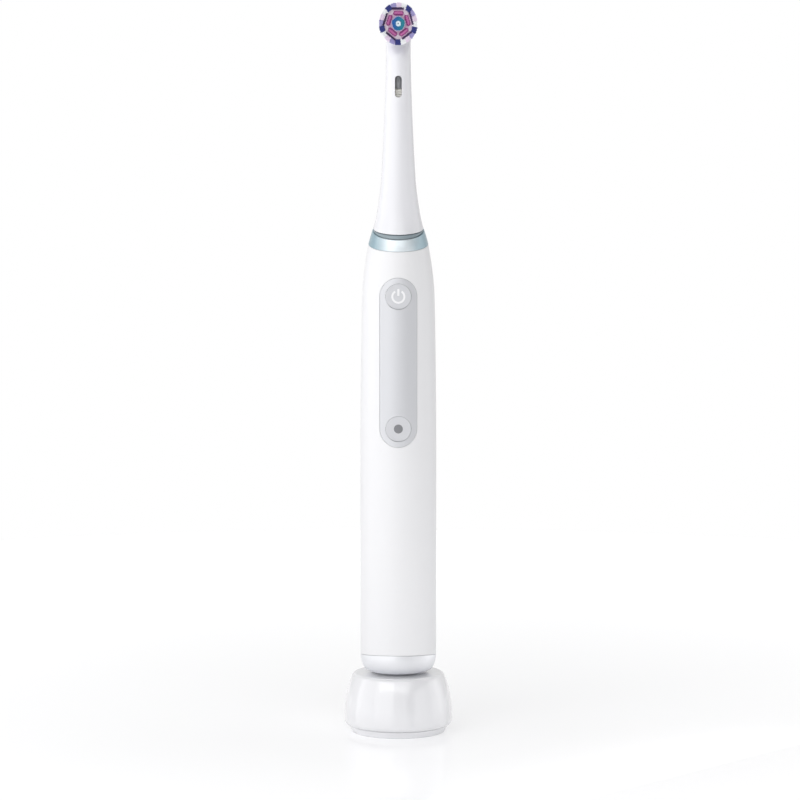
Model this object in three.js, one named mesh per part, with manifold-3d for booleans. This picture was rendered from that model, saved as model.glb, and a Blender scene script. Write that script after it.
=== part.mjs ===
// Electric toothbrush standing on its inductive charger.
// Millimetres, +Z up, the front (buttons and bristles) faces -Y.
// The origin is the middle of the charger's underside, on the surface it stands on.
import * as THREE from "three";
import { mergeVertices } from "three/addons/utils/BufferGeometryUtils.js";
import Module from "manifold-3d";

const wasm = await Module();
wasm.setup();

// ---------------------------------------------------------------- driving sizes
// Clearances on each side
const FIT = 0.15; // pressed, glued and soldered pieces
const RUNNING = 0.3; // pieces that slide, turn or come apart

// Charger
const CHARGER_RADIUS = 20.0;
const CHARGER_HEIGHT = 22.0;
const CHARGER_FOOT_RADIUS = 17.25;
const CHARGER_SEAM_RADIUS = 18.5;
const CHARGER_TOP_RADIUS = 17.0;
const CHARGER_BELLY_HEIGHT = 4.5;
const CHARGER_RIM_FILLET = 1.2;
const CHARGER_WALL = 1.8;
const BASE_HEIGHT = 2.3;
const BASE_UPSTAND = 1.6;
const BOARD_STANDOFF = 2.3;
const BASE_RECESS = 0.8;
const BASE_RIM_WIDTH = 3.0;
const PIN_RADIUS = 4.0;
const PIN_HEIGHT = 9.5;
const PIN_WALL = 1.2;
const CORE_RADIUS = 2.3;
const BOARD_THICKNESS = 1.2;
const COIL_FLANGE = 0.8;
const PRIMARY_RADIUS = 8.0;
const GLAND_RADIUS = 2.8;
const GLAND_BORE = 1.7;
const GLAND_LEVEL = 8.5;

// Handle
const SEAT_GAP = 0.9; // air between the charger's top and the handle's foot
const GRIP_RADIUS = 14.0;
const SHOULDER_RADIUS = 13.25;
const THROAT_RADIUS = 11.0;
const SHELL_WALL = 2.2;
const SHELL_LENGTH = 152.55;
const TAPER_LENGTH = 80.0;
const SHOULDER_LENGTH = 17.4;
const CAP_HEIGHT = 5.9;
const CAP_FLOOR = 1.7;
const CAP_FOOT_RADIUS = 11.0;
const CAP_SLANT = THREE.MathUtils.degToRad(-6); // seam higher at the front
const SPIGOT_WALL = 1.9;
const SPIGOT_LENGTH = 9.2;
const SOCKET_WALL = 1.2;
const SECONDARY_RADIUS = 9.3;
const RING_HEIGHT = 5.55;
const RING_SLANT = THREE.MathUtils.degToRad(10.5); // ring lower at the front
const BAND_SLANT = THREE.MathUtils.degToRad(16.7); // the ring's top dips and bares the band
const BAND_INSET = 0.25;
const PLUG_RADIUS = 7.6;
const PLUG_LENGTH = 11.0;
const GUIDE_WALL = 0.7;
const POST_RADIUS = 3.9;
const POST_LENGTH = 17.5;
const POST_BORE = 2.3;
const POST_FLAT = 3.2; // from the axis to the flat that keeps the head from turning
const SHAFT_RADIUS = 1.75;
const SHAFT_NOSE = 3.5; // how far the shaft stands above its post

// Control panel
const PANEL_WIDTH = 13.7;
const PANEL_LENGTH = 62.3;
const PANEL_TOP_DROP = 11.35; // from the shell's top edge down to the panel's top end
const PANEL_THICKNESS = 1.2;
const PANEL_LEDGE = 1.05;
const BUTTON_RADIUS = 4.7;
const BUTTON_DIP = 0.45; // how far the flat button face lies behind the panel's crown
const BUTTON_TRAVEL = 0.5;
const TAB_RADIUS = 5.4;
const TAB_HALF_WIDTH = 3.0;
const TAB_THICKNESS = 0.7;

// Inside the handle
const CHASSIS_RADIUS = 10.8;
const CHASSIS_WALL = 1.2;
const BULKHEAD = 1.6;
const BATTERY_RADIUS = 7.0;
const BATTERY_LENGTH = 50.0;
const BOARD_FRONT = 8.0; // circuit board face, measured forward from the axis
const BOARD_WIDTH = 12.0;
const SWITCH_SIZE = 4.4;
const SWITCH_BODY = 1.0;
const SWITCH_DOME = 0.3;
const YOKE_RADIUS = 6.6;
const YOKE_WALL = 1.2;
const YOKE_LENGTH = 52.0;
const ARMATURE_LENGTH = 28.0;
const SHAFT_TAIL = 6.0; // how far the shaft reaches below the armature
const BUSH_LENGTH = 9.0;
const MAGNET_RADIUS = 3.6;
const DRIVE_TRAVEL = 0.8;
const SPRING_WIRE = 0.4;

// Brush head
const HEAD_FOOT_RADIUS = 9.2;
const NECK_RADIUS = 6.35;
const WAND_RADIUS = 4.5;
const HEAD_LENGTH = 75.3; // from the head's foot to the centre of the bristle disc
const HEAD_WALL = 1.25;
const SLEEVE_LENGTH = 19.0;
const WINDOW_WIDTH = 2.45;
const WINDOW_HEIGHT = 7.9;
const WINDOW_DROP = 23.2; // from the disc's centre down to the middle of the window
const CUP_RADIUS = 6.3;
const CUP_WALL = 0.9;
const CUP_BACK = 4.5;
const CUP_FRONT = 1.6;
const DISC_RADIUS = 6.6;
const DISC_THICKNESS = 1.7;
const AXLE_RADIUS = 0.7;
const CRANK_OFFSET = 3.0;
const CRANK_RADIUS = 0.6;
const ROD_RADIUS = 1.5;
const BLADE_THICKNESS = 1.4;
const BRISTLE_LENGTH = 7.8;
const BRISTLE_SPREAD_X = 0.15; // how much the bristle field widens from root to tip
const BRISTLE_SPREAD_Z = 0.26;

// Facets around the shells, the smaller visible rounds and the inner pieces
const SHELL_SIDES = 28;
const ROUND_SIDES = 18;
const INNER_SIDES = 12;

// ---------------------------------------------------------------- levels
const handleFoot = CHARGER_HEIGHT + SEAT_GAP;
const seamLevel = handleFoot + CAP_HEIGHT;
const shellTop = seamLevel + SHELL_LENGTH;
const bandTop = shellTop + RING_HEIGHT;
const headFoot = bandTop + RUNNING;
const discLevel = headFoot + HEAD_LENGTH;
const guideBore = PLUG_RADIUS + RUNNING;
const guideRadius = guideBore + GUIDE_WALL;
const slantRise = GRIP_RADIUS * Math.tan(Math.max(RING_SLANT, -CAP_SLANT));

// ---------------------------------------------------------------- shaping helpers
function toSolid(geometry) {
  const bare = geometry.index ? geometry.toNonIndexed() : geometry.clone();
  bare.deleteAttribute("normal");
  bare.deleteAttribute("uv");
  const merged = mergeVertices(bare, 1e-4);
  const corners = merged.index.array;
  const triangles = [];
  for (let i = 0; i < corners.length; i += 3) {
    const [a, b, c] = [corners[i], corners[i + 1], corners[i + 2]];
    if (a !== b && b !== c && c !== a) triangles.push(a, b, c);
  }
  const mesh = new wasm.Mesh({
    numProp: 3,
    vertProperties: Float32Array.from(merged.attributes.position.array),
    triVerts: Uint32Array.from(triangles),
  });
  return new wasm.Manifold(mesh);
}

// A profile runs counter-clockwise in (radius, height): up the outside, back down the inside.
function profilePoints(profile) {
  return profile.map((p) => (Array.isArray(p) ? new THREE.Vector2(p[0], p[1]) : p));
}

function revolve(profile, segments = INNER_SIDES) {
  const lathe = new THREE.LatheGeometry(profilePoints(profile), segments);
  return toSolid(lathe.rotateX(Math.PI / 2));
}

// A tube or washer with its axis on Z; a zero bore makes a solid disc.
function tube(outer, bore, low, high, segments = INNER_SIDES) {
  if (bore === 0) return revolve([[0, low], [outer, low], [outer, high], [0, high]], segments);
  const loop = [[bore, low], [outer, low], [outer, high], [bore, high], [bore, low]];
  return revolve(loop, segments);
}

// A round bar with its axis along Y.
function barY(radius, low, high, x, z, segments = INNER_SIDES) {
  const bar = new THREE.CylinderGeometry(radius, radius, high - low, segments);
  return toSolid(bar.translate(x, (low + high) / 2, z));
}

function block(x, y, z) {
  const box = new THREE.BoxGeometry(x[1] - x[0], y[1] - y[0], z[1] - z[0]);
  return toSolid(box.translate((x[0] + x[1]) / 2, (y[0] + y[1]) / 2, (z[0] + z[1]) / 2));
}

// An outline drawn in X and Z, carried through from y = low to y = high.
function prismY(shape, low, high, curveSegments = 10) {
  const body = new THREE.ExtrudeGeometry(shape, {
    depth: high - low,
    bevelEnabled: false,
    curveSegments,
  });
  return toSolid(body.rotateX(Math.PI / 2).translate(0, high, 0));
}

// Everything above the plane through (axis, level) that leans by the slant.
function aboveSlant(level, slant) {
  const size = 4 * (GRIP_RADIUS + SHELL_LENGTH);
  const box = new THREE.BoxGeometry(size, size, size).translate(0, 0, size / 2);
  return toSolid(box.rotateX(slant).translate(0, 0, level));
}

function pill(width, length, middle) {
  const radius = width / 2;
  const reach = length / 2 - radius;
  const shape = new THREE.Shape();
  shape.absarc(0, middle + reach, radius, 0, Math.PI, false);
  shape.absarc(0, middle - reach, radius, Math.PI, 2 * Math.PI, false);
  return shape;
}

class Helix extends THREE.Curve {
  constructor(radius, low, high, turns) {
    super();
    Object.assign(this, { radius, low, high, turns });
  }
  getPoint(t, target = new THREE.Vector3()) {
    const angle = 2 * Math.PI * this.turns * t;
    const height = this.low + (this.high - this.low) * t;
    return target.set(this.radius * Math.cos(angle), this.radius * Math.sin(angle), height);
  }
}

// A coil spring that fills the height from low to high, wire included.
function spring(radius, wire, low, high, turns) {
  const section = new THREE.Shape().absarc(0, 0, wire, 0, 2 * Math.PI, false);
  const path = new Helix(radius, low + wire, high - wire, turns);
  const body = new THREE.ExtrudeGeometry(section, {
    steps: Math.round(turns * 8),
    curveSegments: 3,
    extrudePath: path,
  });
  return toSolid(body);
}

// ---------------------------------------------------------------- the long outline
// One flowing line from the grip through the light ring to the top of the neck.
const taperLevel = shellTop - TAPER_LENGTH;
const shoulderLevel = shellTop - SHOULDER_LENGTH;
const neckLevel = headFoot + 0.235 * HEAD_LENGTH;
const wandLevel = discLevel - 2 * CUP_RADIUS;
const outline = new THREE.Path();
outline.moveTo(GRIP_RADIUS, handleFoot);
outline.lineTo(GRIP_RADIUS, taperLevel);
outline.bezierCurveTo(
  GRIP_RADIUS, taperLevel + 0.38 * (shoulderLevel - taperLevel),
  SHOULDER_RADIUS + 0.4, taperLevel + 0.78 * (shoulderLevel - taperLevel),
  SHOULDER_RADIUS, shoulderLevel);
outline.bezierCurveTo(
  SHOULDER_RADIUS - 0.2, shoulderLevel + 5, THROAT_RADIUS + 0.85, shellTop - 4.9,
  THROAT_RADIUS, shellTop);
outline.bezierCurveTo(
  THROAT_RADIUS - 0.45, shellTop + 1.9, HEAD_FOOT_RADIUS + 0.6, headFoot - 1.5,
  HEAD_FOOT_RADIUS, headFoot);
const neckRise = neckLevel - headFoot;
outline.bezierCurveTo(
  HEAD_FOOT_RADIUS - 1.0, headFoot + 0.18 * neckRise,
  NECK_RADIUS + 0.6, headFoot + 0.6 * neckRise, NECK_RADIUS, neckLevel);
const wandRise = wandLevel - neckLevel;
outline.bezierCurveTo(
  NECK_RADIUS - 0.6, neckLevel + 0.2 * wandRise,
  WAND_RADIUS + 0.25, neckLevel + 0.645 * wandRise, WAND_RADIUS, wandLevel);
outline.lineTo(WAND_RADIUS, discLevel);
const outlineLine = outline.getPoints(3);

function outlineRadius(height) {
  for (let i = 1; i < outlineLine.length; i += 1) {
    const [a, b] = [outlineLine[i - 1], outlineLine[i]];
    if (height <= b.y) return THREE.MathUtils.mapLinear(height, a.y, b.y, a.x, b.x);
  }
  return outlineLine[outlineLine.length - 1].x;
}

// The outline's points from low to high, moved inward by the inset.
function outlineRun(low, high, inset) {
  const between = outlineLine.filter((p) => p.y > low + 0.2 && p.y < high - 0.2);
  const run = [low, ...between.map((p) => p.y), high];
  return run.map((height) => [outlineRadius(height) - inset, height]);
}

// A skin that follows the outline between two insets, with a bore no less than the least.
function skin(low, high, outerInset, innerInset, leastBore = 0) {
  const outside = outlineRun(low, high, outerInset);
  const inside = outlineRun(low, high, innerInset).reverse();
  const bore = inside.map(([radius, height]) => [Math.max(radius, leastBore), height]);
  return revolve([...outside, ...bore, outside[0]], SHELL_SIDES);
}

// ---------------------------------------------------------------- materials
function paint(color, roughness, metalness = 0, extra = {}) {
  return { color, roughness, metalness, ...extra };
}
const glossWhite = paint(0xf4f4f6, 0.2);
const satinWhite = paint(0xf2f2f4, 0.42);
const silverGrey = paint(0xd0d1d5, 0.28);
const panelGrey = paint(0xd2d3d7, 0.45);
const buttonGrey = paint(0xd8d9dc, 0.5);
const ringBlue = paint(0xd6e8ee, 0.15, 0, { transparent: true, opacity: 0.8 });
const bandGrey = paint(0x8fa0a8, 0.35);
const innerWhite = paint(0xdcdcd8, 0.6);
const rubberGrey = paint(0x55585c, 0.85);
const copper = paint(0xb4673a, 0.35, 1);
const steel = paint(0xb9bcc0, 0.3, 1);
const darkSteel = paint(0x6c6f74, 0.4, 1);
const ferrite = paint(0x35363a, 0.8);
const boardGreen = paint(0x1f6a43, 0.55);
const switchBlack = paint(0x222326, 0.5);
const batteryWrap = paint(0x3f7f9c, 0.45);
const rodGrey = paint(0x55575b, 0.45);
const guideWhite = paint(0xe6e6e2, 0.45);
const brass = paint(0xb99a55, 0.3, 1);
const indigo = paint(0x31357c, 0.7);
const magenta = paint(0xb05a94, 0.7);
const teal = paint(0x2a7aa8, 0.7);

const brush = new THREE.Group();

function part(name, solid, look) {
  const { vertProperties, triVerts } = solid.getMesh();
  const geometry = new THREE.BufferGeometry();
  geometry.setAttribute("position", new THREE.BufferAttribute(vertProperties, 3));
  geometry.setIndex(new THREE.BufferAttribute(triVerts, 1));
  geometry.computeVertexNormals();
  const mesh = new THREE.Mesh(geometry, new THREE.MeshStandardMaterial(look));
  mesh.name = name;
  brush.add(mesh);
}

// ---------------------------------------------------------------- charger
const baseSeam = BASE_HEIGHT + RUNNING;
const chargerRoof = CHARGER_HEIGHT - CHARGER_WALL;
const pinTop = CHARGER_HEIGHT + PIN_HEIGHT;
const pinBore = PIN_RADIUS - PIN_WALL;

// The bowl-shaped side, from the seam over the belly to the top rim.
function chargerSide(inset, steps) {
  const side = new THREE.Path();
  const rise = CHARGER_HEIGHT - CHARGER_BELLY_HEIGHT;
  const rim = CHARGER_HEIGHT - CHARGER_RIM_FILLET + 0.2;
  side.moveTo(CHARGER_SEAM_RADIUS - inset, baseSeam);
  side.quadraticCurveTo(
    CHARGER_RADIUS - inset - 0.1, baseSeam + 0.2, CHARGER_RADIUS - inset, CHARGER_BELLY_HEIGHT);
  side.quadraticCurveTo(
    CHARGER_RADIUS - inset + 0.2, CHARGER_BELLY_HEIGHT + 0.6 * rise,
    CHARGER_TOP_RADIUS - inset, rim - inset);
  return side.getPoints(steps);
}

function makeChargerHousing() {
  const rimInset = CHARGER_TOP_RADIUS - CHARGER_RIM_FILLET;
  const outside = chargerSide(0, 5);
  const inside = chargerSide(CHARGER_WALL, 2).reverse();
  const innerTop = inside[0].x - 1;
  const body = revolve([
    ...outside,
    [CHARGER_TOP_RADIUS - 0.35, CHARGER_HEIGHT - 0.3],
    [rimInset, CHARGER_HEIGHT],
    [PIN_RADIUS + 0.8, CHARGER_HEIGHT],
    [PIN_RADIUS, CHARGER_HEIGHT + 0.6],
    [PIN_RADIUS, pinTop - 1.2],
    [PIN_RADIUS - 1.2, pinTop],
    [0, pinTop],
    [0, pinTop - PIN_WALL],
    [pinBore, pinTop - PIN_WALL],
    [pinBore, chargerRoof],
    [innerTop, chargerRoof],
    ...inside,
    outside[0],
  ], SHELL_SIDES);
  return body.subtract(barY(GLAND_RADIUS + FIT, 0.7 * CHARGER_RADIUS, 2 * CHARGER_RADIUS, 0, GLAND_LEVEL));
}
part("charger_housing", makeChargerHousing(), glossWhite);

// The base closes the bowl, stands on a flat rim and carries the core and the board.
const upstandRadius = CHARGER_SEAM_RADIUS - CHARGER_WALL - RUNNING;
const corePost = CORE_RADIUS + FIT + 1.4;
const boardSeat = BASE_HEIGHT + BOARD_STANDOFF;
part("charger_base_plate", revolve([
  [0, BASE_RECESS],
  [CHARGER_FOOT_RADIUS - BASE_RIM_WIDTH, BASE_RECESS],
  [CHARGER_FOOT_RADIUS - BASE_RIM_WIDTH, 0],
  [CHARGER_FOOT_RADIUS - 0.25, 0],
  [CHARGER_FOOT_RADIUS, 0.25],
  [CHARGER_SEAM_RADIUS, BASE_HEIGHT],
  [upstandRadius, BASE_HEIGHT],
  [upstandRadius, BASE_HEIGHT + BASE_UPSTAND],
  [upstandRadius - 1.2, BASE_HEIGHT + BASE_UPSTAND],
  [upstandRadius - 1.2, BASE_HEIGHT],
  [corePost + 1.6, BASE_HEIGHT],
  [corePost + 1.6, boardSeat],
  [CORE_RADIUS + FIT, boardSeat],
  [CORE_RADIUS + FIT, BASE_HEIGHT],
  [0, BASE_HEIGHT],
], SHELL_SIDES), glossWhite);

const chargerBoardTop = boardSeat + FIT + BOARD_THICKNESS;
part("charger_board", tube(0.7 * CHARGER_RADIUS, CORE_RADIUS + FIT, boardSeat + FIT, chargerBoardTop),
  boardGreen);

// A spool on a hub: two flanges with the winding's groove between them.
function makeFormer(hub, bore, flange, low, high) {
  return revolve([
    [bore, low], [flange, low], [flange, low + COIL_FLANGE], [hub, low + COIL_FLANGE],
    [hub, high - COIL_FLANGE], [flange, high - COIL_FLANGE], [flange, high], [bore, high], [bore, low],
  ], ROUND_SIDES);
}
const primaryLow = chargerBoardTop + FIT;
const primaryHigh = chargerRoof - FIT;
const primaryHub = CORE_RADIUS + FIT + 1.0;
part("primary_former",
  makeFormer(primaryHub, CORE_RADIUS + FIT, PRIMARY_RADIUS, primaryLow, primaryHigh), innerWhite);
part("primary_coil",
  tube(PRIMARY_RADIUS - 0.6, primaryHub + FIT,
    primaryLow + COIL_FLANGE + FIT, primaryHigh - COIL_FLANGE - FIT, ROUND_SIDES), copper);
part("ferrite_core", tube(CORE_RADIUS, 0, BASE_HEIGHT + FIT, pinTop - PIN_WALL - FIT), ferrite);

// The cord's rubber gland: a bush through the rear wall with a flange behind it.
function makeGland() {
  const mouth = Math.sqrt(CHARGER_RADIUS ** 2 - GLAND_RADIUS ** 2) - 0.5;
  const flangeFace = mouth - CHARGER_WALL - 0.9;
  const flange = GLAND_RADIUS + 1.2;
  const bush = barY(GLAND_RADIUS, flangeFace - 0.5, mouth, 0, GLAND_LEVEL);
  const collar = barY(flange, flangeFace - 1.4, flangeFace, 0, GLAND_LEVEL);
  return bush.add(collar).subtract(barY(GLAND_BORE, 0, 2 * CHARGER_RADIUS, 0, GLAND_LEVEL));
}
part("cord_gland", makeGland(), rubberGrey);

// ---------------------------------------------------------------- bottom cap and its coil
const socketBore = PIN_RADIUS + RUNNING;
const socketRadius = socketBore + SOCKET_WALL;
const socketRoof = pinTop + RUNNING;
const shellBore = GRIP_RADIUS - SHELL_WALL;
const spigotRadius = shellBore - FIT;
const spigotTop = seamLevel + SPIGOT_LENGTH;
const capFloor = handleFoot + CAP_FLOOR;
const capSealLevel = seamLevel + 0.62 * SPIGOT_LENGTH;
const capSealRadius = 0.5;

function makeBottomCap() {
  const side = new THREE.Path();
  side.moveTo(CAP_FOOT_RADIUS, handleFoot);
  side.bezierCurveTo(
    CAP_FOOT_RADIUS + 1.5, handleFoot, GRIP_RADIUS - 0.1, handleFoot + 0.45 * CAP_HEIGHT,
    GRIP_RADIUS, seamLevel);
  const blank = revolve([
    [socketBore + 0.5, handleFoot],
    ...side.getPoints(5),
    [GRIP_RADIUS, spigotTop],
    [spigotRadius - SPIGOT_WALL, spigotTop],
    [spigotRadius - SPIGOT_WALL, capFloor],
    [socketRadius, capFloor],
    [socketRadius, socketRoof + SOCKET_WALL],
    [0, socketRoof + SOCKET_WALL],
    [0, socketRoof],
    [socketBore, socketRoof],
    [socketBore, handleFoot + 0.5],
    [socketBore + 0.5, handleFoot],
  ], SHELL_SIDES);
  const keep = tube(spigotRadius, 0, handleFoot, spigotTop + 1, SHELL_SIDES);
  const groove = tube(GRIP_RADIUS, shellBore - FIT - 2 * capSealRadius,
    capSealLevel - capSealRadius - FIT, capSealLevel + capSealRadius + FIT, SHELL_SIDES);
  return blank.subtract(aboveSlant(seamLevel, CAP_SLANT).subtract(keep)).subtract(groove);
}
part("bottom_cap", makeBottomCap(), silverGrey);

// A rubber ring of round section around the Z axis.
function makeSeal(radius, section, level) {
  const points = [];
  const sides = 6;
  for (let i = 0; i <= sides; i += 1) {
    const angle = (i / sides) * 2 * Math.PI;
    points.push([radius + section * Math.cos(angle), level + section * Math.sin(angle)]);
  }
  return revolve(points, SHELL_SIDES);
}
part("cap_seal",
  makeSeal(shellBore - FIT / 2 - capSealRadius, capSealRadius, capSealLevel), rubberGrey);

const secondaryHub = socketRadius + FIT + 0.8;
const secondaryLow = capFloor + FIT;
const secondaryHigh = socketRoof + SOCKET_WALL;
part("secondary_former",
  makeFormer(secondaryHub, socketRadius + FIT, SECONDARY_RADIUS, secondaryLow, secondaryHigh),
  innerWhite);
part("secondary_coil",
  tube(SECONDARY_RADIUS - 0.4, secondaryHub + FIT,
    secondaryLow + COIL_FLANGE + FIT, secondaryHigh - COIL_FLANGE - FIT, ROUND_SIDES), copper);

// ---------------------------------------------------------------- handle shell and panel
const panelTop = shellTop - PANEL_TOP_DROP;
const panelMiddle = panelTop - PANEL_LENGTH / 2;
const buttonReach = PANEL_LENGTH / 2 - PANEL_WIDTH / 2;
const powerLevel = panelMiddle + buttonReach;
const modeLevel = panelMiddle - buttonReach;

function makeShell() {
  const low = seamLevel - slantRise - 1;
  const high = shellTop + slantRise + 1;
  const tall = skin(low, high, 0, SHELL_WALL, guideRadius + RUNNING);
  const above = aboveSlant(shellTop, RING_SLANT);
  const below = aboveSlant(seamLevel + RUNNING, CAP_SLANT);
  const recessShape = pill(PANEL_WIDTH + 2 * RUNNING, PANEL_LENGTH + 2 * RUNNING, panelMiddle);
  const recess = prismY(recessShape, -2 * GRIP_RADIUS, 0);
  const windowShape = pill(
    PANEL_WIDTH - 2 * PANEL_LEDGE, PANEL_LENGTH - 2 * PANEL_LEDGE, panelMiddle);
  const ledge = revolve([
    [0, low], ...outlineRun(low, high, PANEL_THICKNESS + FIT), [0, high]], SHELL_SIDES);
  return tall.subtract(above).intersect(below)
    .subtract(recess.subtract(ledge))
    .subtract(prismY(windowShape, -2 * GRIP_RADIUS, 0));
}
part("handle_shell", makeShell(), satinWhite);

function makePanel() {
  const low = panelMiddle - PANEL_LENGTH / 2 - 2;
  const high = panelTop + 2;
  const pad = skin(low, high, 0, PANEL_THICKNESS);
  const hole = BUTTON_RADIUS + RUNNING;
  return pad.intersect(prismY(pill(PANEL_WIDTH, PANEL_LENGTH, panelMiddle), -2 * GRIP_RADIUS, 0))
    .subtract(barY(hole, -2 * GRIP_RADIUS, 0, 0, powerLevel, ROUND_SIDES))
    .subtract(barY(hole, -2 * GRIP_RADIUS, 0, 0, modeLevel, ROUND_SIDES));
}
part("front_panel", makePanel(), panelGrey);

// A flat round key with two tabs behind the panel and a stem that meets its switch.
const switchFace = BOARD_FRONT + FIT + SWITCH_BODY + SWITCH_DOME;
const stemEnd = switchFace + BUTTON_TRAVEL + FIT;

function makeButton(level) {
  const face = outlineRadius(level) - BUTTON_DIP;
  const panelBack = outlineRadius(level + TAB_RADIUS) - PANEL_THICKNESS;
  const tabFace = Math.sqrt(panelBack ** 2 - TAB_HALF_WIDTH ** 2) - RUNNING;
  const key = barY(BUTTON_RADIUS, -face, -tabFace + TAB_THICKNESS, 0, level, ROUND_SIDES);
  const tabDisc = barY(TAB_RADIUS, -tabFace, -tabFace + TAB_THICKNESS, 0, level, ROUND_SIDES);
  const tabSlot = block(
    [-TAB_HALF_WIDTH, TAB_HALF_WIDTH], [-GRIP_RADIUS, 0], [level - TAB_RADIUS, level + TAB_RADIUS]);
  const stem = barY(1.5, -tabFace, -stemEnd, 0, level);
  return key.add(tabDisc.intersect(tabSlot)).add(stem);
}
part("power_button", makeButton(powerLevel), buttonGrey);
part("mode_button", makeButton(modeLevel), buttonGrey);

// ---------------------------------------------------------------- chassis, battery and board
const boardBack = BOARD_FRONT - BOARD_THICKNESS;
const lowBulkhead = spigotTop + RUNNING;
const batteryLow = lowBulkhead + BULKHEAD + 1.4;
const batteryHigh = batteryLow + BATTERY_LENGTH;
const batteryY = CHASSIS_RADIUS - CHASSIS_WALL - FIT - BATTERY_RADIUS;
const midBulkhead = batteryHigh + 1.4;
const yokeLow = midBulkhead + BULKHEAD + FIT;
const yokeHigh = yokeLow + YOKE_LENGTH;
const topBulkhead = yokeHigh + FIT;
const chassisTop = topBulkhead + BULKHEAD;

// A long moulded trough: a rear wall, and three bulkheads that carry what it holds.
function makeChassis() {
  const wall = tube(
    CHASSIS_RADIUS, CHASSIS_RADIUS - CHASSIS_WALL, lowBulkhead, chassisTop, SHELL_SIDES);
  const front = block([-GRIP_RADIUS, GRIP_RADIUS], [-GRIP_RADIUS, 1], [0, shellTop]);
  let frame = wall.subtract(front);
  for (const low of [lowBulkhead, midBulkhead, topBulkhead]) {
    const disc = tube(CHASSIS_RADIUS, 0, low, low + BULKHEAD, SHELL_SIDES);
    const clear = block([-GRIP_RADIUS, GRIP_RADIUS], [-GRIP_RADIUS, -boardBack + FIT], [0, shellTop]);
    frame = frame.add(disc.subtract(clear));
  }
  return frame.subtract(tube(SHAFT_RADIUS + 1, 0, topBulkhead - 1, chassisTop + 1));
}
part("chassis", makeChassis(), innerWhite);

function makeBattery() {
  const terminal = 2.6;
  const cell = revolve([
    [0, batteryLow], [BATTERY_RADIUS - 0.5, batteryLow], [BATTERY_RADIUS, batteryLow + 0.5],
    [BATTERY_RADIUS, batteryHigh - 1.2], [BATTERY_RADIUS - 0.7, batteryHigh - 0.6],
    [terminal, batteryHigh - 0.6], [terminal, batteryHigh], [0, batteryHigh],
  ], ROUND_SIDES);
  return cell.translate([0, batteryY, 0]);
}
part("battery_cell", makeBattery(), batteryWrap);

// Two spring-steel contacts, one under the cell and one over its terminal.
function makeContact(low, high) {
  const plate = tube(4.5, 0, low, low + 0.4);
  const cone = revolve([[0, low], [3.2, low], [1.6, high], [0, high]]);
  return plate.add(cone).translate([0, batteryY, 0]);
}
part("lower_contact", makeContact(lowBulkhead + BULKHEAD + FIT, batteryLow - FIT), steel);
part("upper_contact",
  makeContact(0, midBulkhead - batteryHigh - 2 * FIT)
    .mirror([0, 0, 1]).translate([0, 0, midBulkhead - FIT]), steel);

const boardLow = lowBulkhead;
const boardHigh = powerLevel + SWITCH_SIZE;
part("circuit_board",
  block([-BOARD_WIDTH / 2, BOARD_WIDTH / 2], [-BOARD_FRONT, -boardBack], [boardLow, boardHigh]),
  boardGreen);

function makeSwitch(level) {
  const half = SWITCH_SIZE / 2;
  const back = -BOARD_FRONT - FIT;
  const body = block([-half, half], [back - SWITCH_BODY, back], [level - half, level + half]);
  return body.add(barY(1.2, -switchFace, back, 0, level));
}
part("power_switch", makeSwitch(powerLevel), switchBlack);
part("mode_switch", makeSwitch(modeLevel), switchBlack);

const boardFit = -BOARD_FRONT - FIT;
part("control_chip", block([-3, 3], [boardFit - 1, boardFit], [panelMiddle - 3, panelMiddle + 3]),
  switchBlack);

// ---------------------------------------------------------------- linear motor
const yokeBore = YOKE_RADIUS - YOKE_WALL;
const yokeRoof = yokeHigh - YOKE_WALL;
part("motor_yoke", revolve([
  [yokeBore, yokeLow], [YOKE_RADIUS, yokeLow], [YOKE_RADIUS, yokeHigh],
  [SHAFT_RADIUS + 0.6, yokeHigh], [SHAFT_RADIUS + 0.6, yokeRoof], [yokeBore, yokeRoof],
  [yokeBore, yokeLow],
]), darkSteel);

const armatureMiddle = (yokeLow + yokeRoof) / 2;
const armatureLow = armatureMiddle - ARMATURE_LENGTH / 2;
const armatureHigh = armatureMiddle + ARMATURE_LENGTH / 2;
const coilLength = ARMATURE_LENGTH / 2;
for (const [name, low] of [["lower", armatureMiddle - coilLength - 1], ["upper", armatureMiddle + 1]]) {
  part(`${name}_stator_coil`, tube(yokeBore - FIT, MAGNET_RADIUS + 0.6, low, low + coilLength), copper);
}

// The armature is a steel spool on the shaft; each groove holds one ring magnet.
const armatureHub = SHAFT_RADIUS + FIT + 0.7;
const armatureFlange = 1.5;
part("armature", revolve([
  [SHAFT_RADIUS + FIT, armatureLow],
  [MAGNET_RADIUS, armatureLow], [MAGNET_RADIUS, armatureLow + armatureFlange],
  [armatureHub, armatureLow + armatureFlange], [armatureHub, armatureMiddle - armatureFlange / 2],
  [MAGNET_RADIUS, armatureMiddle - armatureFlange / 2],
  [MAGNET_RADIUS, armatureMiddle + armatureFlange / 2],
  [armatureHub, armatureMiddle + armatureFlange / 2], [armatureHub, armatureHigh - armatureFlange],
  [MAGNET_RADIUS, armatureHigh - armatureFlange], [MAGNET_RADIUS, armatureHigh],
  [SHAFT_RADIUS + FIT, armatureHigh], [SHAFT_RADIUS + FIT, armatureLow],
]), darkSteel);
const magnetLows = { lower: armatureLow + armatureFlange, upper: armatureMiddle + armatureFlange / 2 };
const magnetLength = ARMATURE_LENGTH / 2 - 1.5 * armatureFlange;
for (const [name, low] of Object.entries(magnetLows)) {
  part(`${name}_magnet`,
    tube(MAGNET_RADIUS, armatureHub + FIT, low + FIT, low + magnetLength - FIT), steel);
}
const springRadius = SHAFT_RADIUS + RUNNING + 2 * SPRING_WIRE;
part("lower_spring",
  spring(springRadius, SPRING_WIRE, midBulkhead + BULKHEAD + FIT, armatureLow - FIT, 4), steel);
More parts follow.
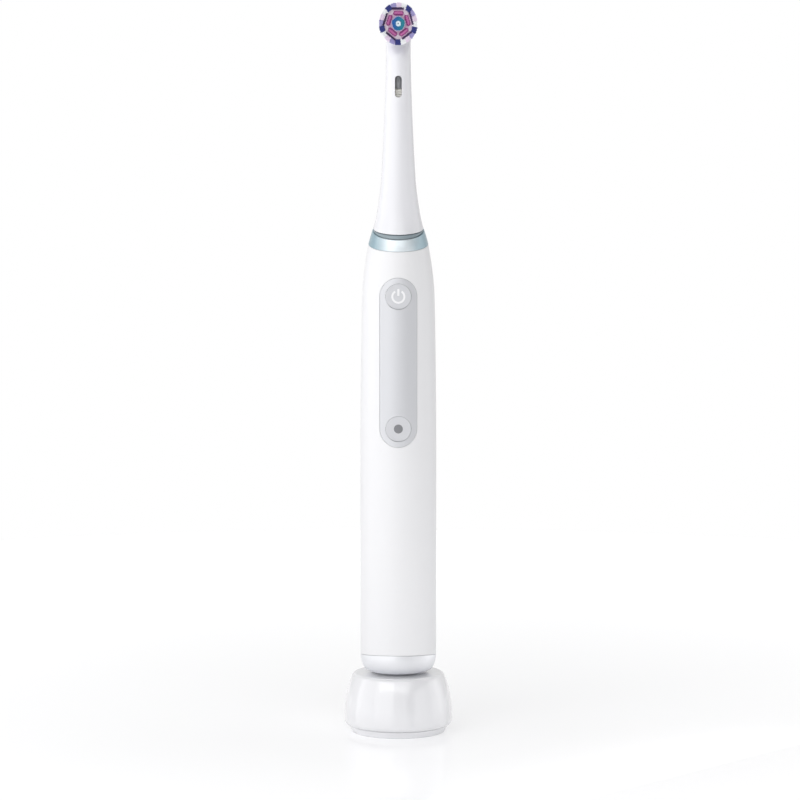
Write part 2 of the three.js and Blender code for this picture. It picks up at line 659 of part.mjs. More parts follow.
part("upper_spring", spring(springRadius, SPRING_WIRE, armatureHigh + FIT, yokeRoof - FIT, 4), steel);

// ---------------------------------------------------------------- handle top
const plugLow = shellTop - PLUG_LENGTH;
const postFlange = plugLow + 3.0;
const postRoot = postFlange + 2.4;
const postTop = bandTop + POST_LENGTH;
const shaftFoot = armatureLow - SHAFT_TAIL;
const shaftTop = postTop + SHAFT_NOSE;
const neckSealLevel = plugLow + 0.59 * PLUG_LENGTH;
const neckSealRadius = 0.45;

// The plug closes the handle; its rim is the grey band above the light ring. The band is
// bared at the front alone and runs out to nothing at the sides.
function makeNeckCap() {
  const rim = skin(bandTop - 2 * slantRise, bandTop + slantRise, BAND_INSET, THROAT_RADIUS - 6);
  const behind = block([-GRIP_RADIUS, GRIP_RADIUS], [-1.0, GRIP_RADIUS], [plugLow, discLevel]);
  const lid = rim.intersect(aboveSlant(bandTop, BAND_SLANT)).subtract(behind)
    .subtract(aboveSlant(bandTop, RING_SLANT));
  const plug = tube(PLUG_RADIUS, 0, plugLow, bandTop, SHELL_SIDES)
    .subtract(aboveSlant(bandTop, RING_SLANT));
  const bore = tube(POST_RADIUS + FIT, 0, plugLow - 1, bandTop + slantRise, ROUND_SIDES);
  const pocket = tube(POST_RADIUS + 1.5 + FIT, 0, plugLow - 1, postRoot + FIT, ROUND_SIDES);
  const groove = tube(GRIP_RADIUS, guideBore - FIT - 2 * neckSealRadius,
    neckSealLevel - neckSealRadius - FIT, neckSealLevel + neckSealRadius + FIT, SHELL_SIDES);
  return plug.subtract(groove).add(lid).subtract(bore).subtract(pocket);
}
part("neck_cap", makeNeckCap(), bandGrey);
part("neck_seal",
  makeSeal(guideBore - FIT / 2 - neckSealRadius, neckSealRadius, neckSealLevel), rubberGrey);

function makeLightGuide() {
  const high = shellTop + slantRise;
  const collar = tube(guideRadius, guideBore, plugLow + 1.5, high, SHELL_SIDES);
  return collar.subtract(aboveSlant(shellTop, RING_SLANT));
}
part("light_guide", makeLightGuide(), ringBlue);

function makeLightRing() {
  const ring = skin(shellTop - slantRise, bandTop + slantRise, 0, THROAT_RADIUS - 6);
  return ring.intersect(aboveSlant(shellTop + RUNNING, RING_SLANT))
    .subtract(aboveSlant(bandTop, RING_SLANT))
    .subtract(aboveSlant(bandTop - RUNNING, BAND_SLANT))
    .subtract(tube(guideBore, 0, 0, headFoot + slantRise, SHELL_SIDES));
}
part("light_ring", makeLightRing(), ringBlue);

// The post stands through the plug; one flat keeps the brush head from turning on it.
function makePost() {
  const post = revolve([
    [POST_BORE, postFlange], [POST_RADIUS + 1.5, postFlange], [POST_RADIUS + 1.5, postRoot],
    [POST_RADIUS, postRoot], [POST_RADIUS, postTop - 0.5], [POST_RADIUS - 0.5, postTop],
    [POST_BORE, postTop], [POST_BORE, postFlange],
  ], ROUND_SIDES);
  const flat = block([-GRIP_RADIUS, GRIP_RADIUS], [-GRIP_RADIUS, -POST_FLAT],
    [bandTop + slantRise, postTop + 1]);
  return post.subtract(flat);
}
part("mount_post", makePost(), steel);
part("shaft_bush",
  tube(POST_BORE - FIT, SHAFT_RADIUS + 0.1, postRoot, postRoot + BUSH_LENGTH, ROUND_SIDES), brass);
part("shaft_seal",
  tube(POST_BORE - FIT, SHAFT_RADIUS + 0.1, postTop - 4, postTop - 0.3, ROUND_SIDES), rubberGrey);
part("drive_shaft", revolve([
  [0, shaftFoot], [SHAFT_RADIUS, shaftFoot], [SHAFT_RADIUS, shaftTop - 0.5],
  [SHAFT_RADIUS - 0.5, shaftTop], [0, shaftTop],
], ROUND_SIDES), steel);

// ---------------------------------------------------------------- brush head shell
const sleeveTop = headFoot + SLEEVE_LENGTH;
const windowLevel = discLevel - WINDOW_DROP;
const windowLow = windowLevel - WINDOW_HEIGHT / 2;
const windowHigh = windowLevel + WINDOW_HEIGHT / 2;
const cupInner = CUP_RADIUS - CUP_WALL;
const cupFloor = CUP_BACK - CUP_WALL - 0.2;
const axleBossRadius = AXLE_RADIUS + FIT + 1.0;
const blendLevel = discLevel - CUP_RADIUS;
const bladeNear = 0.3; // the push rod's blade starts this far behind the axis
const bladeRoot = discLevel - 2 * CUP_RADIUS;
const rodTop = bladeRoot + 0.6; // above it only the flat blade goes on

// Sections of the head from foot to crown: half width, middle and half depths at each height.
// A fullness below one squares off the front half, so the cup's rim comes out flat.
const cupLip = CUP_FRONT + RUNNING;
const flatFront = 0.35;
function headSections() {
  const sections = outlineRun(headFoot - slantRise, wandLevel, 0).map(([radius, height]) => (
    { height, width: radius, middle: 0, front: radius, back: radius, fullness: 1 }));
  const steps = 5;
  for (let i = 1; i <= steps; i += 1) {
    const share = THREE.MathUtils.smoothstep(i / steps, 0, 1);
    const height = THREE.MathUtils.lerp(wandLevel, blendLevel, i / steps);
    const front = THREE.MathUtils.lerp(WAND_RADIUS, cupLip, share);
    const fullness = THREE.MathUtils.lerp(1, flatFront, share);
    sections.push({ height, width: WAND_RADIUS, middle: 0, front, back: WAND_RADIUS, fullness });
  }
  const swell = -0.6; // how far the widest line moves forward as the neck becomes the cup
  for (let i = 1; i <= steps; i += 1) {
    const share = Math.sin((Math.PI / 2) * (i / steps));
    const width = THREE.MathUtils.lerp(WAND_RADIUS, CUP_RADIUS, share);
    const height = THREE.MathUtils.lerp(blendLevel, discLevel, i / steps);
    const middle = swell * share;
    sections.push({
      height, width, middle, front: cupLip + middle, back: CUP_BACK - middle, fullness: flatFront,
    });
  }
  for (let i = 1; i <= steps; i += 1) {
    const angle = 0.47 * Math.PI * (i / steps);
    sections.push({
      height: discLevel + CUP_RADIUS * Math.sin(angle),
      width: CUP_RADIUS * Math.cos(angle),
      middle: swell,
      front: cupLip + swell,
      back: (CUP_BACK - swell) * Math.cos(angle) ** 0.45,
      fullness: flatFront,
    });
  }
  return sections;
}

// Skins a stack of rounded sections and closes it at both ends.
function loft(sections, sides = SHELL_SIDES) {
  const positions = [];
  const corner = ({ height, width, middle, front, back, fullness }, k) => {
    const angle = (2 * Math.PI * (k % sides)) / sides;
    const deep = Math.sin(angle);
    const depth = deep < 0 ? -front * Math.abs(deep) ** fullness : back * deep;
    return [width * Math.cos(angle), middle + depth, height];
  };
  for (let k = 0; k < sides; k += 1) {
    for (let i = 1; i < sections.length; i += 1) {
      const [a, b] = [corner(sections[i - 1], k), corner(sections[i - 1], k + 1)];
      const [c, d] = [corner(sections[i], k), corner(sections[i], k + 1)];
      positions.push(...a, ...b, ...d, ...a, ...d, ...c);
    }
    const [foot, crown] = [sections[0], sections[sections.length - 1]];
    positions.push(0, foot.middle, foot.height, ...corner(foot, k + 1), ...corner(foot, k));
    positions.push(0, crown.middle, crown.height, ...corner(crown, k), ...corner(crown, k + 1));
  }
  const geometry = new THREE.BufferGeometry();
  geometry.setAttribute("position", new THREE.Float32BufferAttribute(positions, 3));
  return toSolid(geometry);
}

function makeHeadShell() {
  const blank = loft(headSections()).intersect(aboveSlant(headFoot, RING_SLANT));
  const hollowTop = discLevel - cupInner + 1;
  const hollow = revolve([
    [0, headFoot - slantRise - 1],
    ...outlineRun(headFoot - slantRise - 1, hollowTop, HEAD_WALL),
    [0, hollowTop]], ROUND_SIDES);
  // Above the wrist the neck's front slopes back under the disc, and only the blade passes.
  const wristLevel = rodTop + DRIVE_TRAVEL + RUNNING;
  const frontOfBlade = block([-GRIP_RADIUS, GRIP_RADIUS], [-GRIP_RADIUS, bladeNear - 0.7],
    [wristLevel, hollowTop + 1]);
  const boss = barY(axleBossRadius, cupFloor - 1, cupFloor + 0.1, 0, discLevel);
  const bowl = new THREE.LatheGeometry(profilePoints([
    [0, -CUP_BACK], [cupInner, -CUP_BACK], [cupInner, CUP_FRONT - 0.2],
    [cupInner - 2.2, cupFloor], [0, cupFloor]]), SHELL_SIDES);
  const cup = toSolid(bowl.translate(0, 0, discLevel)).subtract(boss);
  const scoop = barY(DISC_RADIUS + 2 * RUNNING, -3 * CUP_BACK, -CUP_FRONT, 0, discLevel, SHELL_SIDES);
  const windowShape = pill(WINDOW_WIDTH, WINDOW_HEIGHT, windowLevel);
  const axleBore = barY(AXLE_RADIUS + FIT, 0, CUP_BACK - 0.5, 0, discLevel);
  return blank.subtract(hollow.subtract(frontOfBlade)).subtract(cup).subtract(scoop)
    .subtract(prismY(windowShape, -2 * NECK_RADIUS, 0)).subtract(axleBore);
}
part("head_shell", makeHeadShell(), glossWhite);

// The sleeve grips the post; its bore has the post's flat.
function makeSleeve() {
  const low = headFoot + slantRise;
  const flange = outlineRadius(low + 1.2) - HEAD_WALL - FIT;
  const barrel = outlineRadius(sleeveTop) - HEAD_WALL - FIT;
  const body = revolve([
    [0, low], [flange, low], [flange, low + 1.2], [barrel, low + 1.2], [barrel, sleeveTop],
    [0, sleeveTop]], ROUND_SIDES);
  const flat = block([-GRIP_RADIUS, GRIP_RADIUS], [-GRIP_RADIUS, -POST_FLAT - RUNNING],
    [0, discLevel]);
  const bore = tube(POST_RADIUS + RUNNING, 0, low - 1, sleeveTop + 1, ROUND_SIDES).subtract(flat);
  return body.subtract(bore);
}
part("mount_sleeve", makeSleeve(), guideWhite);

// A ribbed bush that guides the push rod; its ribs show low in the window.
const guideTop = windowLow + 0.37 * WINDOW_HEIGHT;
const guideLength = 5.0;
function makeRodGuide() {
  const outer = outlineRadius(guideTop) - HEAD_WALL - FIT;
  const ribs = Math.round(guideLength);
  const pitch = guideLength / ribs;
  const low = guideTop - guideLength;
  const points = [[ROD_RADIUS + RUNNING, low]];
  for (let i = 0; i < ribs; i += 1) {
    const foot = low + i * pitch;
    points.push([outer, foot + 0.25 * pitch], [outer - 0.35, foot + 0.75 * pitch]);
  }
  points.push([outer, guideTop], [ROD_RADIUS + RUNNING, guideTop], points[0]);
  return revolve(points);
}
part("rod_guide", makeRodGuide(), guideWhite);

// ---------------------------------------------------------------- push rod and crank
const magnetLow = shaftTop + RUNNING;
const magnetHigh = magnetLow + 2.5;
const rodCupTop = magnetHigh + FIT + 1.2;
const rodMagnetRadius = SHAFT_RADIUS + 0.45;
const eyeRadius = CRANK_RADIUS + RUNNING;
const eyeRim = eyeRadius + 0.7;

// The blade leans from the axis to the crank pin and ends in an eye around it.
function makePushRod() {
  const cup = revolve([
    [rodMagnetRadius + FIT, magnetLow], [rodMagnetRadius + 1, magnetLow],
    [rodMagnetRadius + 1, rodCupTop], [0, rodCupTop + 1], [0, magnetHigh + FIT],
    [rodMagnetRadius + FIT, magnetHigh + FIT], [rodMagnetRadius + FIT, magnetLow],
  ]);
  const bladeBend = discLevel - cupInner + 0.4;
  const rod = tube(ROD_RADIUS, 0, rodCupTop, rodTop, ROUND_SIDES);
  const blade = new THREE.Shape();
  blade.moveTo(-1.1, bladeRoot - 1);
  blade.lineTo(1.1, bladeRoot - 1);
  blade.lineTo(1.6, bladeBend);
  blade.lineTo(CRANK_OFFSET + 0.9, discLevel - eyeRim + 0.4);
  blade.lineTo(CRANK_OFFSET + 0.9, discLevel);
  blade.lineTo(CRANK_OFFSET - 0.9, discLevel);
  blade.lineTo(CRANK_OFFSET - 0.9, discLevel - eyeRim);
  blade.lineTo(-0.6, bladeBend);
  const blank = prismY(blade, bladeNear, bladeNear + BLADE_THICKNESS)
    .add(barY(eyeRim, bladeNear, bladeNear + BLADE_THICKNESS, CRANK_OFFSET, discLevel));
  return cup.add(rod).add(blank)
    .subtract(barY(eyeRadius, -CUP_BACK, CUP_BACK, CRANK_OFFSET, discLevel));
}
part("push_rod", makePushRod(), rodGrey);
part("rod_magnet", tube(rodMagnetRadius, 0, magnetLow, magnetHigh), darkSteel);

// ---------------------------------------------------------------- bristle disc
const discBack = -CUP_FRONT - RUNNING;
const discFace = discBack - DISC_THICKNESS;
const hubEnd = 0.0;
const hubRadius = AXLE_RADIUS + RUNNING + 0.7;
part("disc_axle", barY(AXLE_RADIUS, discFace + 0.5, CUP_BACK - 0.6, 0, discLevel), steel);

function makeCarrier() {
  const disc = new THREE.LatheGeometry(profilePoints([
    [0, discFace], [DISC_RADIUS - 0.4, discFace], [DISC_RADIUS, discFace + 0.4],
    [DISC_RADIUS, discBack], [hubRadius, discBack], [hubRadius, hubEnd], [0, hubEnd],
  ]), SHELL_SIDES);
  return toSolid(disc.translate(0, 0, discLevel))
    .subtract(barY(AXLE_RADIUS + FIT, discFace + 0.4, CUP_BACK, 0, discLevel))
    .subtract(barY(CRANK_RADIUS + FIT, discFace + 0.4, CUP_BACK, CRANK_OFFSET, discLevel));
}
part("bristle_carrier", makeCarrier(), glossWhite);
part("crank_pin",
  barY(CRANK_RADIUS, discFace + 0.5, bladeNear + BLADE_THICKNESS + RUNNING, CRANK_OFFSET, discLevel),
  steel);

// A tuft stands on the disc's face and leans outward towards its tip.
function makeTuft(shape, length, curveSegments = 3) {
  const body = new THREE.ExtrudeGeometry(shape, { depth: length, bevelEnabled: false, curveSegments });
  body.rotateX(Math.PI / 2);
  const place = body.attributes.position;
  for (let i = 0; i < place.count; i += 1) {
    const share = -place.getY(i) / BRISTLE_LENGTH;
    place.setX(i, place.getX(i) * (1 + BRISTLE_SPREAD_X * share));
    place.setZ(i, place.getZ(i) * (1 + BRISTLE_SPREAD_Z * share));
  }
  return toSolid(body.translate(0, discFace, discLevel));
}

const tuftCount = 5;
const outerTuftBore = 4.6;
const outerTuftRadius = 6.2;
const outerTuftTurn = THREE.MathUtils.degToRad(56);
const innerTuftMiddle = 3.1;
for (let i = 0; i < tuftCount; i += 1) {
  const turn = (2 * Math.PI) / tuftCount;
  const start = outerTuftTurn + i * turn + 0.04;
  const block5 = new THREE.Shape();
  block5.absarc(0, 0, outerTuftRadius, start, start + turn - 0.08, false);
  block5.absarc(0, 0, outerTuftBore, start + turn - 0.08, start, true);
  part(`outer_tuft_${i + 1}`, makeTuft(block5, BRISTLE_LENGTH), indigo);
}
for (let i = 0; i < tuftCount; i += 1) {
  const middle = Math.PI / 2 + (i * 2 * Math.PI) / tuftCount;
  const [half, reach] = [0.75, 0.85];
  const capsule = new THREE.Shape();
  for (const [side, turn] of [[-1, 1.5], [1, 0.5]]) {
    const x = innerTuftMiddle * Math.cos(middle) + side * reach * Math.sin(middle);
    const y = innerTuftMiddle * Math.sin(middle) - side * reach * Math.cos(middle);
    const from = middle + (turn === 0.5 ? -Math.PI : 0);
    capsule.absarc(x, y, half, from, from + Math.PI, false);
  }
  part(`inner_tuft_${i + 1}`, makeTuft(capsule, BRISTLE_LENGTH - 0.9), magenta);
}
const centreShape = new THREE.Shape().absarc(0, 0, 1.9, 0, 2 * Math.PI, false);
centreShape.holes.push(new THREE.Path().absarc(0, 0, 0.75, 0, 2 * Math.PI, true));
part("centre_tuft", makeTuft(centreShape, BRISTLE_LENGTH - 0.4, 8), teal);

export default brush;
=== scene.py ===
"""Looks of the electric toothbrush on its charger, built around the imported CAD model."""

import math
import random

import bpy
from mathutils import Matrix, Vector
from mathutils.geometry import interpolate_bezier


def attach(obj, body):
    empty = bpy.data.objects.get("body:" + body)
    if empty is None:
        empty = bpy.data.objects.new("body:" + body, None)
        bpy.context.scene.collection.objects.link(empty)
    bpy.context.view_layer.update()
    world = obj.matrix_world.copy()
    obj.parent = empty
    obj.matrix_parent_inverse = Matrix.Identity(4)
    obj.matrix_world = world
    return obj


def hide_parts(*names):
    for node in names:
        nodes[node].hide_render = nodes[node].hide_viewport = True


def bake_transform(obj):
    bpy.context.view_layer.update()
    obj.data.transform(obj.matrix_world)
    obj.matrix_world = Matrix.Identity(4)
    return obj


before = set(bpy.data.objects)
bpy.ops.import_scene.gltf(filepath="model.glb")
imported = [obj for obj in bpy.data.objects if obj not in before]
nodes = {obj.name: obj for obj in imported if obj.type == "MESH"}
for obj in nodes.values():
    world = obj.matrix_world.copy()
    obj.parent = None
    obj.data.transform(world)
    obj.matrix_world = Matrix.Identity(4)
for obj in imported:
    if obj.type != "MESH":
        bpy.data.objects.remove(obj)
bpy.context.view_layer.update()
MM = 0.001

# ------------------------------------------------------------------ camera, light and floor
# The brush stands on a white table top, before a bright wall. Tall soft boxes light it from
# the left, a wide one from above and weaker ones from the front and the right; a small low
# one lights the charger's right flank.
scene = bpy.context.scene
scene.view_settings.view_transform = "Standard"

bpy.ops.object.select_all(action="DESELECT")
bpy.ops.object.camera_add(location=(0.0006, -1.73, 0.336))
camera = bpy.context.object
camera.name = "camera"
line_of_sight = Vector((0.0006, 0, 0.1236)) - camera.location
camera.rotation_euler = line_of_sight.to_track_quat("-Z", "Y").to_euler()
camera.data.sensor_width = 36
camera.data.lens = 212.8
camera.data.clip_start = 0.01
scene.camera = camera


def add_soft_box(name, azimuth, elevation, distance, width, height, power, aim=0.13):
    """An area lamp that faces the brush at the aim height; azimuth 0 is straight in front."""
    turn, rise = math.radians(azimuth), math.radians(elevation)
    target = Vector((0, 0, aim))
    level = math.cos(rise)
    away = Vector((math.sin(turn) * level, -math.cos(turn) * level, math.sin(rise)))
    bpy.ops.object.light_add(type="AREA", location=target + distance * away)
    lamp = bpy.context.object
    lamp.name = name
    lamp.rotation_euler = (-away).to_track_quat("-Z", "Y").to_euler()
    lamp.data.shape = "RECTANGLE"
    lamp.data.size, lamp.data.size_y = width, height
    lamp.data.energy = power
    lamp.visible_camera = False
    return lamp


for name, *setting in (
        ("far_left", -80, 8, 1.9, 1.6, 2.5, 15.2), ("left", -34, 6, 1.9, 1.5, 2.5, 17.2),
        ("front", 2, 4, 2.2, 1.3, 2.4, 6.2), ("above", -10, 41, 1.6, 2.3, 1.2, 9.7),
        ("right", 73, 6, 1.5, 2.26, 0.8, 4.2), ("far_right", 100, 4, 1.5, 1.2, 1.6, 2.4)):
    add_soft_box("soft_box_" + name, *setting)
low_fill = add_soft_box("soft_box_low", 50, 0, 0.13, 0.16, 0.02, 0.016, aim=0.012)
low_fill.visible_glossy = False


def feed(tree, shader, feeds):
    """Gives each named input of a shader node a value, or the socket that drives it."""
    for name, value in feeds.items():
        if isinstance(value, bpy.types.NodeSocket):
            tree.links.new(value, shader.inputs[name])
        else:
            shader.inputs[name].default_value = value


def add_shader(tree, kind, feeds, **settings):
    """Adds a shader node of a kind, with its settings and then its feeds."""
    shader = tree.nodes.new("ShaderNode" + kind)
    for name, value in settings.items():
        setattr(shader, name, value)
    feed(tree, shader, feeds)
    return shader


def new_material(name):
    """A fresh material, with its node tree and its main shader."""
    material = bpy.data.materials.new(name)
    material.use_nodes = True
    return material, material.node_tree, material.node_tree.nodes["Principled BSDF"]


world = bpy.data.worlds.new("studio")
scene.world = world
world.use_nodes = True
tree = world.node_tree
heading = add_shader(tree, "TexCoord", {})
parts = add_shader(tree, "SeparateXYZ", {"Vector": heading.outputs["Generated"]})
glow = add_shader(tree, "MapRange", {  # the wall behind the brush is brighter than the room
    "Value": parts.outputs["Y"], "From Min": -0.2, "From Max": 0.4,
    "To Min": 0.06, "To Max": 0.78}, interpolation_type="SMOOTHSTEP")
sight = add_shader(tree, "LightPath", {}).outputs
seen = add_shader(tree, "Mix", {
    "Factor": sight["Is Camera Ray"], "A": glow.outputs["Result"], "B": 1.0})
feed(tree, tree.nodes["Background"], {
    "Color": (1, 1, 1, 1), "Strength": seen.outputs["Result"]})

bpy.ops.mesh.primitive_circle_add(vertices=96, radius=0.5, fill_type="NGON")
floor = bpy.context.object
floor.name = "table_top"
table_paint, tree, lacquer = new_material("table_white_lacquer")
feed(tree, lacquer, {
    "Base Color": (0.86, 0.86, 0.87, 1), "Roughness": 0.1, "Specular IOR Level": 0.3})
sight = add_shader(tree, "LightPath", {}).outputs
seen = add_shader(tree, "Math", {
    0: sight["Is Glossy Ray"], 1: 0.85, 2: sight["Is Camera Ray"]}, operation="MULTIPLY_ADD")
fill = add_shader(tree, "Math", {
    0: sight["Is Diffuse Ray"], 1: 0.35, 2: seen.outputs[0]}, operation="MULTIPLY_ADD")
place = add_shader(tree, "TexCoord", {})
reach = add_shader(tree, "VectorMath", {0: place.outputs["Object"]}, operation="LENGTH")
fade = add_shader(tree, "MapRange", {  # the table melts into the wall further out
    "Value": reach.outputs["Value"], "From Min": 0.06, "From Max": 0.4,
    "To Min": 0.25, "To Max": 0.42})
level = add_shader(tree, "Math", {0: fill.outputs[0], 1: fade.outputs["Result"]},
                   operation="MULTIPLY")
glow = add_shader(tree, "Emission", {"Color": (1, 1, 1, 1), "Strength": level.outputs[0]})
both = add_shader(tree, "AddShader", {0: lacquer.outputs["BSDF"], 1: glow.outputs["Emission"]})
feed(tree, tree.nodes["Material Output"], {"Surface": both.outputs["Shader"]})
floor.data.materials.append(table_paint)

# ------------------------------------------------------------------ charger housing
# The charger is one bowl of polished white plastic, moulded upside down, with a blind pin
# on its roof that the handle drops over. The cord's gland sits in a hole in its rear wall.
ROUND_STEPS = 160


def sweep_clear():
    """Leaves nothing selected, so an operator acts on the next piece alone."""
    if bpy.context.object and bpy.context.object.mode != "OBJECT":
        bpy.ops.object.mode_set(mode="OBJECT")
    bpy.ops.object.select_all(action="DESELECT")


def take_up(piece):
    """Makes a piece the one selected, active object."""
    sweep_clear()
    piece.select_set(True)
    bpy.context.view_layer.objects.active = piece


def take_name(name):
    """Names the piece that an operator has just made."""
    piece = bpy.context.object
    piece.name = piece.data.name = name
    return piece


def open_mesh(unit=None):
    """Opens the active piece for editing with all of it selected."""
    bpy.ops.object.mode_set(mode="EDIT")
    if unit:
        bpy.ops.mesh.select_mode(type=unit)
    bpy.ops.mesh.select_all(action="SELECT")


def open_parts(unit, parts, chosen):
    """Opens the active piece for editing with only the chosen parts of it selected."""
    bpy.ops.object.mode_set(mode="EDIT")
    bpy.ops.mesh.select_mode(type=unit)
    bpy.ops.mesh.select_all(action="DESELECT")
    bpy.ops.object.mode_set(mode="OBJECT")
    parts.foreach_set("select", chosen)
    bpy.ops.object.mode_set(mode="EDIT")


def draw_out(step):
    """Extrudes what is selected by a step in metres."""
    bpy.ops.mesh.extrude_region_move(TRANSFORM_OT_translate={"value": step})


def close_mesh(weld=False):
    """Turns the faces outward, after welding points that coincide, and leaves editing."""
    bpy.ops.mesh.select_all(action="SELECT")
    if weld:
        bpy.ops.mesh.remove_doubles(threshold=0.003 * MM)
        bpy.ops.mesh.delete_loose()
        bpy.ops.mesh.select_all(action="SELECT")
    bpy.ops.mesh.normals_make_consistent(inside=False)
    bpy.ops.object.mode_set(mode="OBJECT")


def soften(corners, steps=5):
    """Turns (radius, height, rounding) corners into a line whose corners are rounded."""
    line = []
    for i, (radius, height, rounding) in enumerate(corners):
        here = Vector((radius, height))
        if rounding == 0:
            line.append(here)
            continue
        before, after = Vector(corners[i - 1][:2]), Vector(corners[i + 1][:2])
        start = here + (before - here).normalized() * rounding
        end = here + (after - here).normalized() * rounding
        for k in range(steps + 1):
            t = k / steps
            line.append(start * (1 - t) ** 2 + here * 2 * t * (1 - t) + end * t ** 2)
    return line


def curve_points(start, first, second, end, steps):
    """Points of a flowing curve between two ends, drawn by its two handles."""
    flat = [Vector((*p, 0)) for p in (start, first, second, end)]
    return [p.xy for p in interpolate_bezier(flat[0], flat[1], flat[2], flat[3], steps + 1)]


def turn_piece(name, line, steps=ROUND_STEPS):
    """Draws a line of (radius, height) points and spins it about the upright axis."""
    sweep_clear()
    bpy.ops.mesh.primitive_plane_add(size=MM)
    piece = take_name(name)
    open_mesh("VERT")
    bpy.ops.mesh.merge(type="CENTER")
    bpy.ops.transform.translate(value=(line[0][0] * MM, 0, line[0][1] * MM))
    for a, b in zip(line, line[1:]):
        draw_out(((b[0] - a[0]) * MM, 0, (b[1] - a[1]) * MM))
    bpy.ops.mesh.select_all(action="SELECT")
    bpy.ops.mesh.spin(steps=steps, angle=2 * math.pi, center=(0, 0, 0), axis=(0, 0, 1))
    close_mesh(weld=True)
    return piece


def settle():
    """Bakes the active piece's place, turn and scale into its points."""
    bpy.ops.object.transform_apply(location=True, rotation=True, scale=True)


def bar_along_y(name, radius, near, far, z, rounding=0.0, sides=96, x=0.0):
    """A round bar from y = near to y = far (mm), with its two rims rounded over."""
    sweep_clear()
    bpy.ops.mesh.primitive_cylinder_add(
        vertices=sides, radius=radius * MM, depth=(far - near) * MM, rotation=(math.pi / 2, 0, 0),
        location=(x * MM, (near + far) / 2 * MM, z * MM))
    bar = take_name(name)
    settle()
    if rounding:
        ends = [[bar.data.vertices[i].co.y for i in edge.vertices] for edge in bar.data.edges]
        open_parts("EDGE", bar.data.edges, [abs(a - b) < 0.01 * MM for a, b in ends])
        bpy.ops.mesh.bevel(offset=rounding * MM, segments=5)
        bpy.ops.object.mode_set(mode="OBJECT")
    return bar


def join(pieces):
    """Makes one piece of several, kept under the first one's name."""
    sweep_clear()
    for piece in pieces:
        piece.select_set(True)
    bpy.context.view_layer.objects.active = pieces[0]
    bpy.ops.object.join()


def box(size, centre, lean=0.0):
    """A box (mm) about a centre, leaning by a turn about the x axis."""
    sweep_clear()
    bpy.ops.mesh.primitive_cube_add(
        size=1, rotation=(lean, 0, 0), location=[place * MM for place in centre])
    block = bpy.context.object
    block.scale = [length * MM for length in size]
    settle()
    return block


def combine(piece, tool, operation="DIFFERENCE"):
    """Cuts a tool out of a piece, or adds it on, and clears the tool away."""
    take_up(piece)
    step = piece.modifiers.new("shape", "BOOLEAN")
    step.operation = operation
    step.solver = "MANIFOLD"
    step.object = tool
    bpy.ops.object.modifier_apply(modifier=step.name)
    bpy.data.objects.remove(tool)


def smooth(piece, angle=32):
    """Smooth faces, with the edges that are sharper than the angle kept crisp."""
    take_up(piece)
    bpy.ops.object.shade_smooth_by_angle(angle=math.radians(angle))


def srgb(red, green, blue):
    """A colour given in the usual 0 to 255 steps, as the shader wants it."""
    def linear(step):
        value = step / 255
        return value / 12.92 if value <= 0.04045 else ((value + 0.055) / 1.055) ** 2.4
    return (linear(red), linear(green), linear(blue), 1.0)


def darker(colour, share):
    """The same colour with less light in it."""
    return (colour[0] * share, colour[1] * share, colour[2] * share, 1.0)


def piece_place(tree):
    """Where a point lies on its own piece."""
    return add_shader(tree, "TexCoord", {}).outputs["Object"]


def add_noise(tree, scale, detail=2.0, stretch=(1, 1, 1)):
    """A noise pattern fixed to the piece; scale counts its blotches per metre."""
    fit = add_shader(tree, "Mapping", {"Vector": piece_place(tree), "Scale": stretch})
    return add_shader(tree, "TexNoise", {
        "Vector": fit.outputs["Vector"], "Scale": scale, "Detail": detail}).outputs["Fac"]


def spread(tree, pattern, low, high, start=0.0, end=1.0, **settings):
    """A pattern that runs from start to end, stretched between two values."""
    return add_shader(tree, "MapRange", {
        "Value": pattern, "From Min": start, "From Max": end,
        "To Min": low, "To Max": high}, **settings).outputs["Result"]


def mix_colours(tree, pattern, first, second):
    """A colour that runs between two others by a pattern."""
    return add_shader(tree, "Mix", {"Factor": pattern, "A": first, "B": second},
                      data_type="RGBA").outputs["Result"]


def relief(tree, pattern, depth):
    """Raises or sinks the surface by a pattern; depth in millimetres."""
    return add_shader(tree, "Bump", {
        "Height": pattern, "Strength": 1.0, "Distance": depth * MM}).outputs["Normal"]


def moulded_plastic(name, colour, roughness, peel=0.003, tone=0.025, coat=0.0, metal=0.0):
    """Moulded plastic: faint flow clouds, slightly uneven polish and a fine orange peel.
    A share of metal stands for the flakes in a pearl lacquer."""
    material, tree, skin = new_material(name)
    clouds, polish, grain = add_noise(tree, 70, 3), add_noise(tree, 260, 3), add_noise(tree, 1500)
    feed(tree, skin, {
        "Base Color": mix_colours(tree, clouds, darker(colour, 1 - tone), colour),
        "Roughness": spread(tree, polish, roughness - 0.04, roughness + 0.05),
        "Normal": relief(tree, grain, peel), "Metallic": metal,
        "Coat Weight": coat, "Coat Roughness": 0.1, "Coat IOR": 1.7})
    return material


def finish_piece(piece, body, material, slot, *replaced, angle=32):
    """Smooths a new piece; gives it a material and a body, and hides the nodes it replaces. The
    slot is not used.
    """
    smooth(piece, angle)
    piece.data.materials.clear()
    piece.data.materials.append(material)
    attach(piece, body)
    if replaced:
        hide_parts(*replaced)


